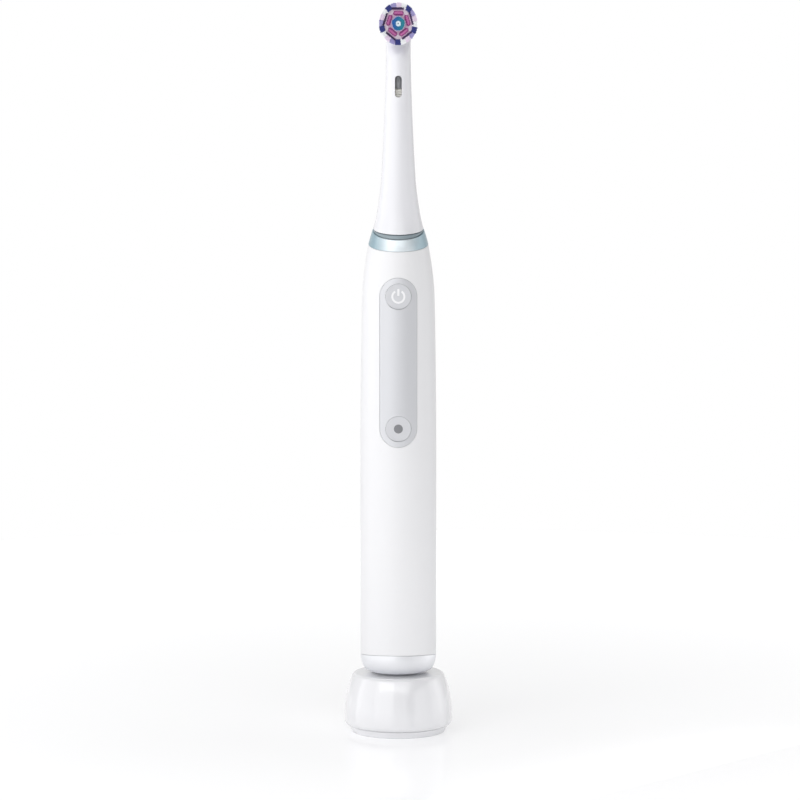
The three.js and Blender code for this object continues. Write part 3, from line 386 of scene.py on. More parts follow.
charger_white = moulded_plastic(
    "charger_polished_white", srgb(242, 242, 245), 0.13, 0.002, 0.015, coat=0.8)
charger_height = 22.0
seam_radius, seam_height = 18.5, 2.6
housing_wall = 1.8
pin_radius, pin_top, pin_wall = 4.0, 31.5, 1.2
inside_foot, inside_top, inside_roof = 2.7, 19.6, 20.2
side = (curve_points((seam_radius, seam_height), (19.4, 2.75), (19.95, 3.3), (20.0, 4.5), 10)
        + curve_points((20.0, 4.5), (20.0, 11.5), (19.1, 16.5), (17.25, 20.6), 24)[1:]
        + curve_points((17.25, 20.6), (16.9, 21.5), (16.4, 22.0), (15.4, 22.0), 8)[1:])
inner_side = [(p.x - housing_wall, p.y) for p in reversed(side)
              if inside_foot < p.y < inside_top]
housing_line = side + soften([
    (15.4, charger_height, 0), (pin_radius, charger_height, 0.7), (pin_radius, pin_top, 1.2),
    (0, pin_top, 0), (0, pin_top - pin_wall, 0), (pin_radius - pin_wall, pin_top - pin_wall, 0),
    (pin_radius - pin_wall, inside_roof, 0), (inner_side[0][0] - 1, inside_roof, 0)])[1:]
housing_line += inner_side + [(seam_radius - housing_wall, seam_height), side[0]]
charger_housing = turn_piece("charger_bowl", housing_line)
gland_level = 8.5
combine(charger_housing, bar_along_y("gland_hole", 2.95, 14, 30, gland_level, sides=64))
finish_piece(charger_housing, "charger", charger_white, "white_gloss", "charger_housing")

# ------------------------------------------------------------------ charger base plate
# The same white plastic as a shallow dish that snaps into the bowl from below. It stands
# on a flat rim; a spigot in its middle holds the ferrite core and the board.
base_line = soften([
    (0, 0.8, 0), (14.25, 0.8, 0.15), (14.25, 0, 0.15), (17.25, 0, 0.35), (18.5, 2.5, 0.06),
    (16.3, 2.5, 0), (16.3, 3.9, 0.15), (15.1, 3.9, 0.15), (15.1, 2.3, 0), (5.45, 2.3, 0),
    (5.45, 4.6, 0), (2.45, 4.6, 0), (2.45, 2.3, 0), (0, 2.3, 0)], 4)
base_plate = turn_piece("charger_foot_plate", base_line)
finish_piece(base_plate, "charger", charger_white, "white_gloss", "charger_base_plate")

# ------------------------------------------------------------------ cord gland and inner charger
# A grey rubber bush closes the hole in the rear wall. Inside, a copper coil on a spool
# stands round the ferrite core and drives the handle's coil through the pin.
cord_gland = bar_along_y("gland_bush", 2.8, 16.5, 19.2, gland_level, 0.25, 64)
combine(cord_gland, bar_along_y("gland_collar", 4.0, 15.6, 17.0, gland_level, 0.2, 64), "UNION")
combine(cord_gland, bar_along_y("gland_bore", 1.7, 10, 25, gland_level, sides=48))
rubber = moulded_plastic("seal_soft_rubber", srgb(96, 99, 103), 0.75, 0.012, 0.12)
finish_piece(cord_gland, "charger", rubber, "seal_rubber", "cord_gland")


def wound_copper(name):
    """Enamelled wire laid in rows: a fine ridge for each turn, and an uneven amber enamel."""
    material, tree, skin = new_material(name)
    enamel = add_noise(tree, 240, 3)
    turns = add_shader(tree, "TexWave", {"Vector": piece_place(tree), "Scale": 800},
                       bands_direction="Z")
    feed(tree, skin, {
        "Base Color": mix_colours(tree, enamel, srgb(158, 84, 44), srgb(206, 128, 78)),
        "Roughness": spread(tree, enamel, 0.24, 0.42), "Metallic": 1.0,
        "Normal": relief(tree, turns.outputs["Fac"], 0.08)})
    return material


def drawn_steel(name, colour, roughness, stretch=(1, 1, 0.03)):
    """Turned or drawn metal: fine lines along its length and a slightly uneven shine."""
    material, tree, skin = new_material(name)
    lines = add_noise(tree, 4000, 3, stretch)
    feed(tree, skin, {
        "Base Color": mix_colours(tree, lines, darker(colour, 0.86), colour),
        "Roughness": spread(tree, lines, roughness - 0.06, roughness + 0.08),
        "Metallic": 1.0, "Normal": relief(tree, lines, 0.002)})
    return material


def paint_nodes(material, *names):
    """Gives CAD nodes that keep their own shape a finished material."""
    for name in names:
        nodes[name].data.materials[0] = material


inner_plastic = moulded_plastic("inner_ivory_plastic", srgb(222, 221, 214), 0.5, 0.006, 0.05)
copper_wire = wound_copper("coil_copper_wire")
ferrite = moulded_plastic("core_pressed_ferrite", srgb(54, 55, 59), 0.62, 0.02, 0.3)
circuit_green = moulded_plastic("board_green_resist", srgb(34, 104, 66), 0.42, 0.008, 0.28)
paint_nodes(inner_plastic, "primary_former", "secondary_former", "chassis", "mount_sleeve")
paint_nodes(copper_wire, "primary_coil", "secondary_coil", "lower_stator_coil", "upper_stator_coil")
paint_nodes(ferrite, "ferrite_core")
paint_nodes(circuit_green, "charger_board", "circuit_board")

# ------------------------------------------------------------------ bottom cap
# A silver-grey moulded cup closes the handle from below. Its seam with the white shell
# slants up to the front, and a socket in its floor drops over the charger's pin.
TUBE = 14.0  # radius of the straight tube that every outline piece is drawn as
cap_foot, cap_seam = 22.9, 28.8
shell_foot, taper_start, shell_top = 28.9, 101.35, 181.35
ring_foot, band_top = 181.45, 186.9
head_foot, neck_level, wand_level, wand_radius = 187.2, 204.9, 249.9, 4.5
disc_level = 262.5
foot_slant, top_slant = math.tan(math.radians(-6)), math.tan(math.radians(10.5))
long_outline = (
    curve_points((11.0, cap_foot), (12.5, cap_foot), (13.9, 25.55), (14.0, cap_seam), 24)
    + curve_points((14.0, taper_start), (14.0, 125.1), (13.65, 150.2), (13.25, 163.95), 24)
    + curve_points((13.25, 163.95), (13.05, 168.95), (11.85, 176.45), (11.0, shell_top), 24)[1:]
    + curve_points((11.0, shell_top), (10.55, 183.25), (9.8, 185.7), (9.2, head_foot), 12)[1:]
    + curve_points((9.2, head_foot), (8.2, 190.4), (6.95, 197.8), (6.35, neck_level), 24)[1:]
    + curve_points(
        (6.35, neck_level), (5.75, 213.9), (4.75, 233.9), (wand_radius, wand_level), 24)[1:]
    + [Vector((wand_radius, disc_level))])


def outline_radius(height):
    """The brush's own radius at a height, from the cap's foot to the top of the neck."""
    if height <= long_outline[0].y:
        return long_outline[0].x
    for low, high in zip(long_outline, long_outline[1:]):
        if height <= high.y:
            return low.x + (high.x - low.x) * (height - low.y) / max(high.y - low.y, 1e-6)
    return long_outline[-1].x


def ease(value, low, high):
    """A smooth 0 to 1 step between two heights."""
    t = min(max((value - low) / (high - low), 0), 1)
    return t * t * (3 - 2 * t)


def seam_slant(height):
    """How steeply a level line leans at a height: down to the back at the foot, up at the top."""
    foot = foot_slant * ease(height, cap_foot, cap_seam) * (1 - ease(height, shell_foot, 60))
    top = top_slant * ease(height, 150, 180) * (1 - ease(height, 188, 225))
    return foot + top


def round_place(radius, angle, height):
    """A point (mm) given by its turn about the upright axis, in metres."""
    return Vector((radius * math.cos(angle), radius * math.sin(angle), height)) * MM


def follow_outline(piece, least=0.0, keep_inside=4.0):
    """Bends a straight round tube to the long outline and leans its levels with the seams.
    Points further inside the tube than keep_inside hold their own radius."""
    for vertex in piece.data.vertices:
        x, y, height = vertex.co / MM
        radius, angle = math.hypot(x, y), math.atan2(y, x)
        inset = TUBE - radius
        lean = seam_slant(height) * math.sin(angle)
        if inset < keep_inside:
            height += lean * outline_radius(height)
            radius = max(outline_radius(height) - inset, least)
        else:
            height += lean * radius
        vertex.co = round_place(radius, angle, height)


def upright(radius, low, high, spacing):
    """The even points of an upright line strictly between two levels."""
    count = max(int((high - low) / spacing), 1)
    return [(radius, low + (high - low) * i / count, 0) for i in range(1, count)]


spigot_radius, spigot_wall, spigot_top = TUBE - 2.4, TUBE - 4.3, 38.0
cap_line = soften(
    [(TUBE - 5.4, cap_foot, 0), (TUBE, cap_foot, 0)]
    + upright(TUBE, cap_foot + 0.5, cap_seam - 0.2, 0.3)
    + [(TUBE, cap_seam, 0.1), (spigot_radius, cap_seam, 0), (spigot_radius, 33.0, 0),
       (spigot_radius, spigot_top, 0.3), (spigot_wall, spigot_top, 0), (spigot_wall, 24.6, 0),
       (5.5, 24.6, 0), (5.5, 33.0, 0), (0, 33.0, 0), (0, 31.8, 0), (4.3, 31.8, 0),
       (4.3, 23.3, 0), (4.7, cap_foot, 0), (TUBE - 5.4, cap_foot, 0)])
bottom_cap = turn_piece("handle_bottom_cap", cap_line)
for vertex in bottom_cap.data.vertices:  # the spigot and the socket don't lean or taper
    x, y, height = vertex.co / MM
    radius = math.hypot(x, y)
    if height < cap_seam + 0.01 and radius > 8.5 and not (24.5 < height < cap_seam and radius < 10):
        angle = math.atan2(y, x)
        height += seam_slant(height) * math.sin(angle) * outline_radius(height)
        radius = min(radius, outline_radius(height) - (TUBE - radius))
        vertex.co = round_place(radius, angle, height)
cap_silver = moulded_plastic(
    "cap_silver_lacquer", srgb(243, 244, 247), 0.48, 0.002, 0.02, metal=0.9)
finish_piece(bottom_cap, "handle", cap_silver, "silver_cap", "bottom_cap")

# ------------------------------------------------------------------ handle shell
# One long white tube with a fine satin skin. It tapers through a soft shoulder to the ring,
# and its front has a stepped recess with rounded ends where the control panel is glued in.
panel_middle, panel_length, panel_width = 138.85, 62.3, 13.7
shell_wall, panel_depth, panel_gap = 2.2, 1.35, 0.04


def pill_ring(width, length, middle, count=160):
    """Points (x, z) round a long shape with two half-round ends."""
    radius, reach = width / 2, (length - width) / 2
    straight, half = 2 * reach, math.pi * radius
    total = 2 * (straight + half)
    ring = []
    for i in range(count):
        run = total * i / count
        if run < half:
            angle = run / radius
            ring.append((radius * math.cos(angle), middle + reach + radius * math.sin(angle)))
        elif run < half + straight:
            ring.append((-radius, middle + reach - (run - half)))
        elif run < 2 * half + straight:
            angle = math.pi + (run - half - straight) / radius
            ring.append((radius * math.cos(angle), middle - reach + radius * math.sin(angle)))
        else:
            ring.append((radius, middle - reach + (run - 2 * half - straight)))
    return ring


def front_depth(x, height, inset):
    """Where the brush's front skin lies (y) at a place, moved inward by the inset."""
    radius = outline_radius(height) - inset
    return -math.sqrt(max(radius ** 2 - x ** 2, 0.01))


def carve_tool(name, width, length, middle, levels, floor_y=None, count=160):
    """A long plug for cutting into the front. Each level is (outset, inset): how much wider
    the plug is there, and how far it lies inside the skin, whose curve it follows."""
    sweep_clear()
    bpy.ops.mesh.primitive_circle_add(vertices=count, radius=width / 2 * MM, fill_type="NGON")
    tool = take_name(name)
    rings = [[(x, front_depth(x, z, inset) if inset is not None else floor_y, z)
              for x, z in pill_ring(width + 2 * outset, length + 2 * outset, middle, count)]
             for outset, inset in levels]
    open_mesh()
    for _ in rings[1:]:
        draw_out((0, 0, MM))
    bpy.ops.object.mode_set(mode="OBJECT")
    for i, ring in enumerate(rings):
        for k, place in enumerate(ring):
            tool.data.vertices[i * count + k].co = Vector(place) * MM
    take_up(tool)
    open_mesh()
    close_mesh()
    return tool


lip_radius = 0.1
lip = [(lip_radius * (1 - math.cos(turn)), lip_radius * (1 - math.sin(turn)))
       for turn in (k * math.pi / 10 for k in range(6))]
shell_bore = TUBE - shell_wall
shell_line = soften(
    [(shell_bore, shell_foot, 0), (TUBE, shell_foot, 0.1)]
    + upright(TUBE, shell_foot + 1, taper_start, 6)
    + upright(TUBE, taper_start, shell_top - 0.4, 1.6)
    + [(TUBE, shell_top, 0.1), (shell_bore, shell_top, 0)]
    + upright(shell_bore, shell_foot, shell_top, 8)[::-1] + [(shell_bore, shell_foot, 0)], 4)
handle_shell = turn_piece("handle_white_shell", shell_line, 224)
follow_outline(handle_shell, least=8.9)
recess = ([(panel_gap, panel_depth)] + [(panel_gap + out, inset) for out, inset in lip]
          + [(panel_gap + 0.1, -3)])
combine(handle_shell, carve_tool(
    "recess_plug", panel_width, panel_length, panel_middle, recess))
ledge = 2.1  # the window behind the panel is this much smaller than the recess
combine(handle_shell, carve_tool(
    "window_plug", panel_width - ledge, panel_length - ledge, panel_middle,
    [(0, None), (0, 0.8)], floor_y=0, count=96))
shell_white = moulded_plastic("shell_satin_white", srgb(244, 244, 246), 0.36, 0.003, 0.012)
finish_piece(handle_shell, "handle", shell_white, "white_satin", "handle_shell", angle=28)

# ------------------------------------------------------------------ front panel
# A long pad of grey satin lacquer that fills the recess flush with the shell. Two round
# holes in it let the keys through; its rounded rim leaves a fine shadow line.
def curved_pad(name, width, length, middle, thickness, rounding, spacing):
    """A pad cut flat, ruled into a grid, thickened, and then wrapped on to the front skin."""
    sweep_clear()
    bpy.ops.mesh.primitive_circle_add(vertices=200, radius=width / 2 * MM, fill_type="NGON")
    pad = take_name(name)
    for vertex, (x, z) in zip(pad.data.vertices, pill_ring(width, length, middle, 200)):
        vertex.co = Vector((x, 0, z)) * MM
    open_mesh()
    for step in (0.25, 0.3, 0.45):
        bpy.ops.mesh.inset(thickness=step * rounding * MM)
    columns, rows = int(width / spacing), int(length / (2 * spacing))
    cuts = [(-width / 2 + width * i / columns, (1, 0, 0)) for i in range(1, columns)]
    cuts += [(middle - length / 2 + length * i / rows, (0, 0, 1)) for i in range(1, rows)]
    for level, across in cuts:
        bpy.ops.mesh.bisect(plane_co=[level * MM * way for way in across], plane_no=across)
        bpy.ops.mesh.select_all(action="SELECT")
    draw_out((0, thickness * MM, 0))
    close_mesh()
    radius, reach = width / 2, (length - width) / 2
    for vertex in pad.data.vertices:
        x, inset, z = vertex.co / MM
        beyond = max(abs(z - middle) - reach, 0)
        rim = max(radius - math.hypot(x, beyond), 0)
        if inset < thickness / 2 and rim < rounding:
            inset += rounding - math.sqrt(max(rounding ** 2 - (rounding - rim) ** 2, 0))
        vertex.co = Vector((x, front_depth(x, z, inset), z)) * MM
    return pad


power_level, mode_level = 163.15, 114.55
front_panel = curved_pad(
    "handle_front_panel", panel_width - 0.02, panel_length - 0.02, panel_middle, 1.2, 0.16, 0.7)
key_radius, key_gap = 4.7, 0.06
for level in (power_level, mode_level):
    combine(front_panel, bar_along_y("key_hole", key_radius + key_gap, -20, -8, level))
panel_grey = moulded_plastic(
    "panel_grey_satin", srgb(219, 220, 224), 0.42, 0.003, 0.02, metal=0.25)
finish_piece(front_panel, "handle", panel_grey, "panel_grey", "front_panel", angle=30)

# ------------------------------------------------------------------ power and mode keys
# Two flat round keys of a paler grey. Each has tabs that hold it behind the panel and a stem
# that reaches its switch. The power sign and the mode spot are inlaid in white and dark grey.
key_grey = moulded_plastic("key_pale_grey", srgb(216, 217, 221), 0.46, 0.004, 0.015)
sign_white = moulded_plastic("power_sign_white", srgb(250, 250, 252), 0.4, 0.002, 0.01)
spot_grey = moulded_plastic("mode_spot_grey", srgb(136, 137, 141), 0.42, 0.002, 0.04)


def make_key(name, level, body):
    """A flat round key with two hidden tabs and a stem; returns where its face lies."""
    face = outline_radius(level) - 0.45
    key = bar_along_y(name, key_radius, -face, -10.6, level, 0.14, 112)
    tabs = bar_along_y(name + "_tabs", 5.4, -11.0, -10.4, level, sides=64)
    combine(tabs, box((6, 4, 12), (0, -10.7, level)), "INTERSECT")
    combine(key, tabs, "UNION")
    combine(key, bar_along_y(name + "_stem", 1.5, -11.2, -10.1, level, sides=48), "UNION")
    finish_piece(key, body, key_grey, "button_grey", body, angle=30)
    return -face


power_face = make_key("power_key", power_level, "power_button")
mode_face = make_key("mode_key", mode_level, "mode_button")


def power_sign(level, face):
    """An open ring with an upright bar in its gap, a fraction proud of the key."""
    inner, outer, proud, sunk, gap = 1.85, 2.55, 0.04, 0.1, math.radians(32)
    sweep_clear()
    bpy.ops.mesh.primitive_plane_add(size=1)
    ring = take_name("power_sign")
    corners = [(radius, face + depth) for depth in (-proud, sunk) for radius in (inner, outer)]
    for vertex, (radius, y) in zip(ring.data.vertices, corners):
        vertex.co = Vector((-radius * math.sin(gap), y, level + radius * math.cos(gap))) * MM
    open_mesh("VERT")
    bpy.ops.mesh.spin(
        steps=72, angle=2 * (math.pi - gap), center=(0, 0, level * MM), axis=(0, 1, 0))
    close_mesh(weld=True)
    bar = box((0.77, sunk + proud, 2.5), (0, face + (sunk - proud) / 2, level + 1.55))
    join([ring, bar])
    return ring


sign = power_sign(power_level, power_face)
finish_piece(sign, "power_button", sign_white, "white_gloss", angle=30)
spot = bar_along_y("mode_spot", 1.65, mode_face - 0.03, mode_face + 0.1, mode_level, 0.02, 64)
finish_piece(spot, "mode_button", spot_grey, "panel_grey", angle=30)

# ------------------------------------------------------------------ inside the handle
# Battery, board, switches and the linear motor, held by one ivory chassis. None of it shows
# with the handle shut, but each piece keeps a finish of its own.
switch_black = moulded_plastic("switch_black_plastic", srgb(38, 39, 43), 0.4, 0.004, 0.12)
cell_wrap = moulded_plastic("cell_shrunk_sleeve", srgb(63, 127, 156), 0.36, 0.006, 0.08)
bright_steel = drawn_steel("steel_bright", srgb(196, 199, 203), 0.24)
dark_steel = drawn_steel("steel_blackened", srgb(112, 115, 120), 0.38)
bronze = drawn_steel("bush_sintered_bronze", srgb(186, 154, 88), 0.4, (1, 1, 1))
paint_nodes(switch_black, "power_switch", "mode_switch", "control_chip")
paint_nodes(cell_wrap, "battery_cell")
paint_nodes(bright_steel, "lower_contact", "upper_contact", "lower_magnet", "upper_magnet",
            "disc_axle", "crank_pin")
paint_nodes(dark_steel, "motor_yoke", "armature", "rod_magnet")
paint_nodes(bronze, "shaft_bush")
paint_nodes(rubber, "cap_seal", "neck_seal", "shaft_seal")


def coil_spring(name, low, high, turns=4):
    """A round wire wound up a coil: each step carries its cut end a little round and up."""
    coil_radius, wire, steps = 2.85, 0.4, 20
    rise = (high - low - 2 * wire) / (turns * steps)
    sweep_clear()
    bpy.ops.mesh.primitive_circle_add(
        vertices=10, radius=wire * MM, fill_type="NGON", rotation=(math.pi / 2, 0, 0),
        location=(coil_radius * MM, 0, (low + wire) * MM))
    coil = take_name(name)
    settle()
    open_mesh("FACE")
    for _ in range(turns * steps):
        draw_out((0, 0, rise * MM))
        bpy.ops.transform.rotate(
            value=2 * math.pi / steps, orient_axis="Z", center_override=(0, 0, 0))
    close_mesh()
    smooth(coil, 40)
    coil.data.materials.append(bright_steel)
    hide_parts(name.replace("_coil", ""))
    return coil


spring_low, armature_low, armature_high, spring_high = 94.51, 105.69, 134.06, 145.09
lower_coil = coil_spring("lower_spring_coil", spring_low, armature_low)
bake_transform(lower_coil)
upper_coil = coil_spring("upper_spring_coil", armature_high, spring_high)
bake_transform(upper_coil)

# ------------------------------------------------------------------ light ring
# A pale blue lens that follows the handle's outline on a light guide inside the shell; a painted
# highlight makes it pale white in the middle and fades to blue round the sides. Its foot slants
# down to the front, and its top edge dips there even more.
def slant_block(level, slant, above=True):
    """A big block above or below the plane that leans by the slant through the axis."""
    size, turn = 60, math.radians(slant)
    reach = size / 2 if above else -size / 2
    centre = (0, -reach * math.sin(turn), level + reach * math.cos(turn))
    return box((size, size, size), centre, turn)


band_dip, ring_bore = 16.7, 7.9
ring_line = soften(
    [(ring_bore, ring_foot, 0), (TUBE, ring_foot, 0.08)]
    + upright(TUBE, ring_foot + 0.1, band_top - 0.1, 0.3)
    + [(TUBE, band_top, 0.12), (ring_bore, band_top, 0), (ring_bore, ring_foot, 0)], 4)
light_ring = turn_piece("light_ring_lens", ring_line)
follow_outline(light_ring, least=ring_bore)
combine(light_ring, slant_block(band_top - 0.3, band_dip))
ring_lens = moulded_plastic(
    "ring_blue_lens", srgb(150, 178, 190), 0.3, 0.001, 0.04, coat=0.3, metal=0.2)
tree = ring_lens.node_tree
skin = tree.nodes["Principled BSDF"]
parts = add_shader(tree, "SeparateXYZ", {"Vector": piece_place(tree)})
aside = add_shader(tree, "Math", {0: parts.outputs["X"]}, operation="ABSOLUTE")
# Painted highlight: pale white within 2.6 mm either side of the middle, front and back alike,
# fading to the lens blue by 9.4 mm aside.
painted_highlight_fade = spread(tree, aside.outputs[0], 0, 1, 2.6 * MM, 9.4 * MM,
                 interpolation_type="SMOOTHSTEP")
blue = skin.inputs["Base Color"].links[0].from_socket
feed(tree, skin, {
    "Base Color": mix_colours(tree, painted_highlight_fade, srgb(234, 243, 248), blue)})
finish_piece(light_ring, "handle", ring_lens, "ring_lens", "light_ring")
paint_nodes(ring_lens, "light_guide")

# ------------------------------------------------------------------ neck cap and mounting post
# A blue-grey plug closes the handle; its rim is the band that the ring's dip bares in front.
# The steel post stands through it, with the drive shaft inside, and one flat keeps the head
# from turning.
neck_line = soften(
    [(4.05, 170.35, 0), (7.6, 170.35, 0.3), (7.6, 176.24, 0), (6.85, 176.24, 0),
     (6.85, 177.44, 0), (7.6, 177.44, 0), (7.6, band_top, 0.12), (4.05, band_top, 0),
     (4.05, 170.35, 0)], 3)
neck_cap = turn_piece("handle_neck_cap", neck_line)
follow_outline(neck_cap)
rim_radius, rim_bore, rim_foot = TUBE - 0.25, 6.0, band_top - 4.2
neck_rim = turn_piece("neck_rim", soften(
    [(rim_bore, rim_foot, 0), (rim_radius, rim_foot, 0)]
    + upright(rim_radius, rim_foot + 0.1, band_top - 0.2, 0.3)
    + [(rim_radius, band_top, 0.15), (rim_bore, band_top, 0), (rim_bore, rim_foot, 0)], 4))
follow_outline(neck_rim)
combine(neck_rim, slant_block(band_top, band_dip, above=False))
combine(neck_rim, box((30, 30, 30), (0, 14, 185)))
combine(neck_cap, neck_rim, "UNION")
band_grey = moulded_plastic("band_blue_grey", srgb(146, 160, 167), 0.3, 0.002, 0.03)
finish_piece(neck_cap, "handle", band_grey, "band_grey", "neck_cap")

mount_post = turn_piece("head_mount_post", soften([
    (2.3, 173.35, 0), (5.4, 173.35, 0), (5.4, 175.75, 0), (3.9, 175.75, 0), (3.9, 204.4, 0.5),
    (2.3, 204.4, 0.15), (2.3, 173.35, 0)], 4), 96)
combine(mount_post, box((20, 10, 16), (0, -8.2, 197.5)))  # its flat
finish_piece(mount_post, "handle", bright_steel, "bright_steel", "mount_post")
drive_shaft = turn_piece("motor_drive_shaft", soften([
    (0, 99.85, 0), (1.75, 99.85, 0.2), (1.75, 207.9, 0.5), (0, 207.9, 0)], 4), 64)
finish_piece(drive_shaft, "drive", bright_steel, "bright_steel", "drive_shaft")

# ------------------------------------------------------------------ brush head shell
# The head is one slim hollow moulding of polished white plastic. Its foot slants with the
# band, its neck flows up into a round cup that opens to the front, and a small window in the
# neck shows the push rod.
cup_radius, cup_bore, cup_back, cup_lip, cup_swell = 6.3, 5.4, 4.5, 1.9, 0.6
blend_level = disc_level - cup_radius
head_top = disc_level + cup_radius


def shape_cup(piece):
    """Swells the top of a straight tube into the cup: flat in front, domed behind."""
    flat_front = 0.35
    for vertex in piece.data.vertices:
        x, y, height = vertex.co / MM
        radius, angle = math.hypot(x, y), math.atan2(y, x)
        across, deep = math.cos(angle), math.sin(angle)
        if height <= wand_level or radius < 0.01:
            continue
        if height < blend_level:
            share = ease(height, wand_level, blend_level)
            half_width, back, middle = radius, radius, 0
            front = radius + (cup_lip - radius) * share
            squared = 1 + (flat_front - 1) * share
        else:
            squared = flat_front
            if height < disc_level:
                share = math.sin(math.pi / 2 * (height - blend_level) / cup_radius)
                half_width = wand_radius + (cup_radius - wand_radius) * share
                middle = -cup_swell * share
                back = cup_back - middle
            else:
                level = min((height - disc_level) / cup_radius, 0.9999)
                half_width = cup_radius * math.sqrt(1 - level ** 2)
                middle = -cup_swell
                back = (cup_back + cup_swell) * (1 - level ** 2) ** 0.225
            front = cup_lip + middle
        y = middle + (back * deep if deep > 0 else -front * abs(deep) ** squared)
        vertex.co = Vector((across * half_width, y, height)) * MM


head_rows = (upright(TUBE, head_foot + 0.3, blend_level, 1.4)
             + upright(TUBE, blend_level - 0.01, disc_level, 0.4))
dome_rows = [(TUBE, disc_level + cup_radius * math.sin(math.pi / 2 * k / 22), 0)
             for k in range(22)]
head_line = soften([(0, head_foot, 0), (TUBE, head_foot, 0.15)] + head_rows + dome_rows
                   + [(0, head_top, 0)], 4)
head_shell = turn_piece("brush_head_shell", head_line, 144)
follow_outline(head_shell, keep_inside=13.9)
shape_cup(head_shell)
take_up(head_shell)
open_mesh()
close_mesh(weld=True)
hollow_radius, hollow_foot, hollow_top = TUBE - 1.25, head_foot - 4, 258.0
hollow = turn_piece("head_hollow", soften(
    [(0, hollow_foot, 0), (hollow_radius, hollow_foot, 0)]
    + upright(hollow_radius, hollow_foot + 1, hollow_top - 1, 3)
    + [(hollow_radius, hollow_top, 0), (0, hollow_top, 0)]), 96)
follow_outline(hollow, keep_inside=13.9)
combine(hollow, box((10, 10, 10), (0, -5.4, 256.6)))
combine(head_shell, hollow)
cup_tool = bar_along_y("cup_hollow", cup_bore, -20, 1.42, disc_level, sides=112)
sweep_clear()
bpy.ops.mesh.primitive_cone_add(
    vertices=112, radius1=cup_bore * MM, radius2=3.2 * MM, depth=2 * MM,
    rotation=(-math.pi / 2, 0, 0), location=(0, 2.4 * MM, disc_level * MM))
combine(cup_tool, bpy.context.object, "UNION")
combine(cup_tool, bar_along_y("axle_boss", 1.85, 2.4, 6, disc_level, 0.2, 48))
combine(cup_tool, bar_along_y("axle_hole", 0.85, 0, 4.0, disc_level, sides=32), "UNION")
combine(head_shell, cup_tool)
combine(head_shell, bar_along_y("cup_scoop", 7.2, -30, -1.6, disc_level, 0.25, 128))
window_lip = ([(0.0, 3.2), (0.0, 0.12)] + [(0.7 * out, 0.85 * inset) for out, inset in lip]
              + [(0.1, -1.0)])
combine(head_shell, carve_tool("neck_window", 2.45, 7.9, 239.3, window_lip, count=96))
head_white = moulded_plastic("head_polished_white", srgb(241, 241, 245), 0.15, 0.002, 0.012)
finish_piece(head_shell, "brush_head", head_white, "white_gloss", "head_shell", angle=30)

# ------------------------------------------------------------------ rod guide and push rod
# A ribbed ivory bush guides the grey push rod; both show in the neck's window. The rod
# carries the motor's stroke up to an eye round the disc's crank pin.
guide_low, guide_high, guide_bore = 233.27, 238.27, 1.8
guide_radius, groove_radius = 3.35, 3.0
rib_line = [(guide_bore, guide_low, 0)]
for i in range(5):
    foot = guide_low + i
    rib_line += [(groove_radius, foot + 0.02, 0.03), (guide_radius, foot + 0.28, 0.1),
                 (guide_radius, foot + 0.62, 0.1), (groove_radius, foot + 0.9, 0.03)]
rib_line += [(guide_radius, guide_high, 0.08), (guide_bore, guide_high, 0),
             (guide_bore, guide_low, 0)]
rod_guide = turn_piece("neck_rod_guide", soften(rib_line, 3), 96)
finish_piece(rod_guide, "brush_head", inner_plastic, "inner_plastic", "rod_guide", angle=40)
rod_grey = moulded_plastic("rod_grey_plastic", srgb(188, 190, 194), 0.34, 0.004, 0.05)
paint_nodes(rod_grey, "push_rod")

# ------------------------------------------------------------------ bristle disc
# A small white plate with a hub behind it turns to and fro in the cup; every tuft is
# anchored in its face.
disc_face, disc_back = -3.6, -1.9
bristle_disc = bar_along_y("bristle_disc", 6.55, disc_face, disc_back, disc_level, 0.3, 128)
combine(bristle_disc, bar_along_y("disc_hub", 1.7, -2.4, 0.0, disc_level, 0.1, 48), "UNION")
combine(bristle_disc, bar_along_y("hub_bore", 0.85, -3.2, 6, disc_level, sides=32))
combine(bristle_disc, bar_along_y("pin_bore", 0.75, -3.2, 6, disc_level, sides=32, x=3.0))
finish_piece(bristle_disc, "brush_disc", head_white, "white_gloss", "bristle_carrier", angle=30)

# ------------------------------------------------------------------ bristles
# Nylon filaments a little over a quarter of a millimetre thick, in tufts that lean outward:
# five blocks of four colours round the rim, five magenta ones, and a blue-green crown in
# the middle, all in a field of pale ones; five rows of dark plum filaments paint the shade in the
# gaps between the rim and the field.
FILAMENT_RADIUS, PITCH = 0.138, 0.25
spread_x, spread_z, root_y = 0.15, 0.26, -3.45
longest = 7.8
fifth, pad_turn, block_turn = 72, 89.5, 92.3  # degrees
strands = random.Random(7)


def nylon(name, colour, second=None, glow=0.0):
    """Dyed nylon: each filament a little different, with painted shade that darkens it down between
    its neighbours.
    A faint painted glow, an emission, stands in for the light that clear filaments pass on to one
    another."""
    material, tree, skin = new_material(name)
    strand = add_noise(tree, 2600, 1, (1, 0.02, 1))
    dyed = mix_colours(tree, strand, darker(colour, 0.86), colour)
    parts = add_shader(tree, "SeparateXYZ", {"Vector": piece_place(tree)}).outputs
    if second:
        across = spread(tree, parts["X"], 0, 1, -1.6 * MM, 1.6 * MM)
        dyed = mix_colours(tree, across, dyed, second)
    # Painted shade: the colour darkens to six tenths down near the roots, where neighbouring
    # filaments shade them.
    depth = spread(tree, parts["Y"], 0, 1, -6.5 * MM, -4.0 * MM)
    feed(tree, skin, {
        "Base Color": mix_colours(tree, depth, dyed, darker(colour, 0.6)),
        "Roughness": spread(tree, strand, 0.28, 0.45),
        # Painted glow: an emission in the filament's own colour.
        "Emission Color": colour, "Emission Strength": glow})
    return material


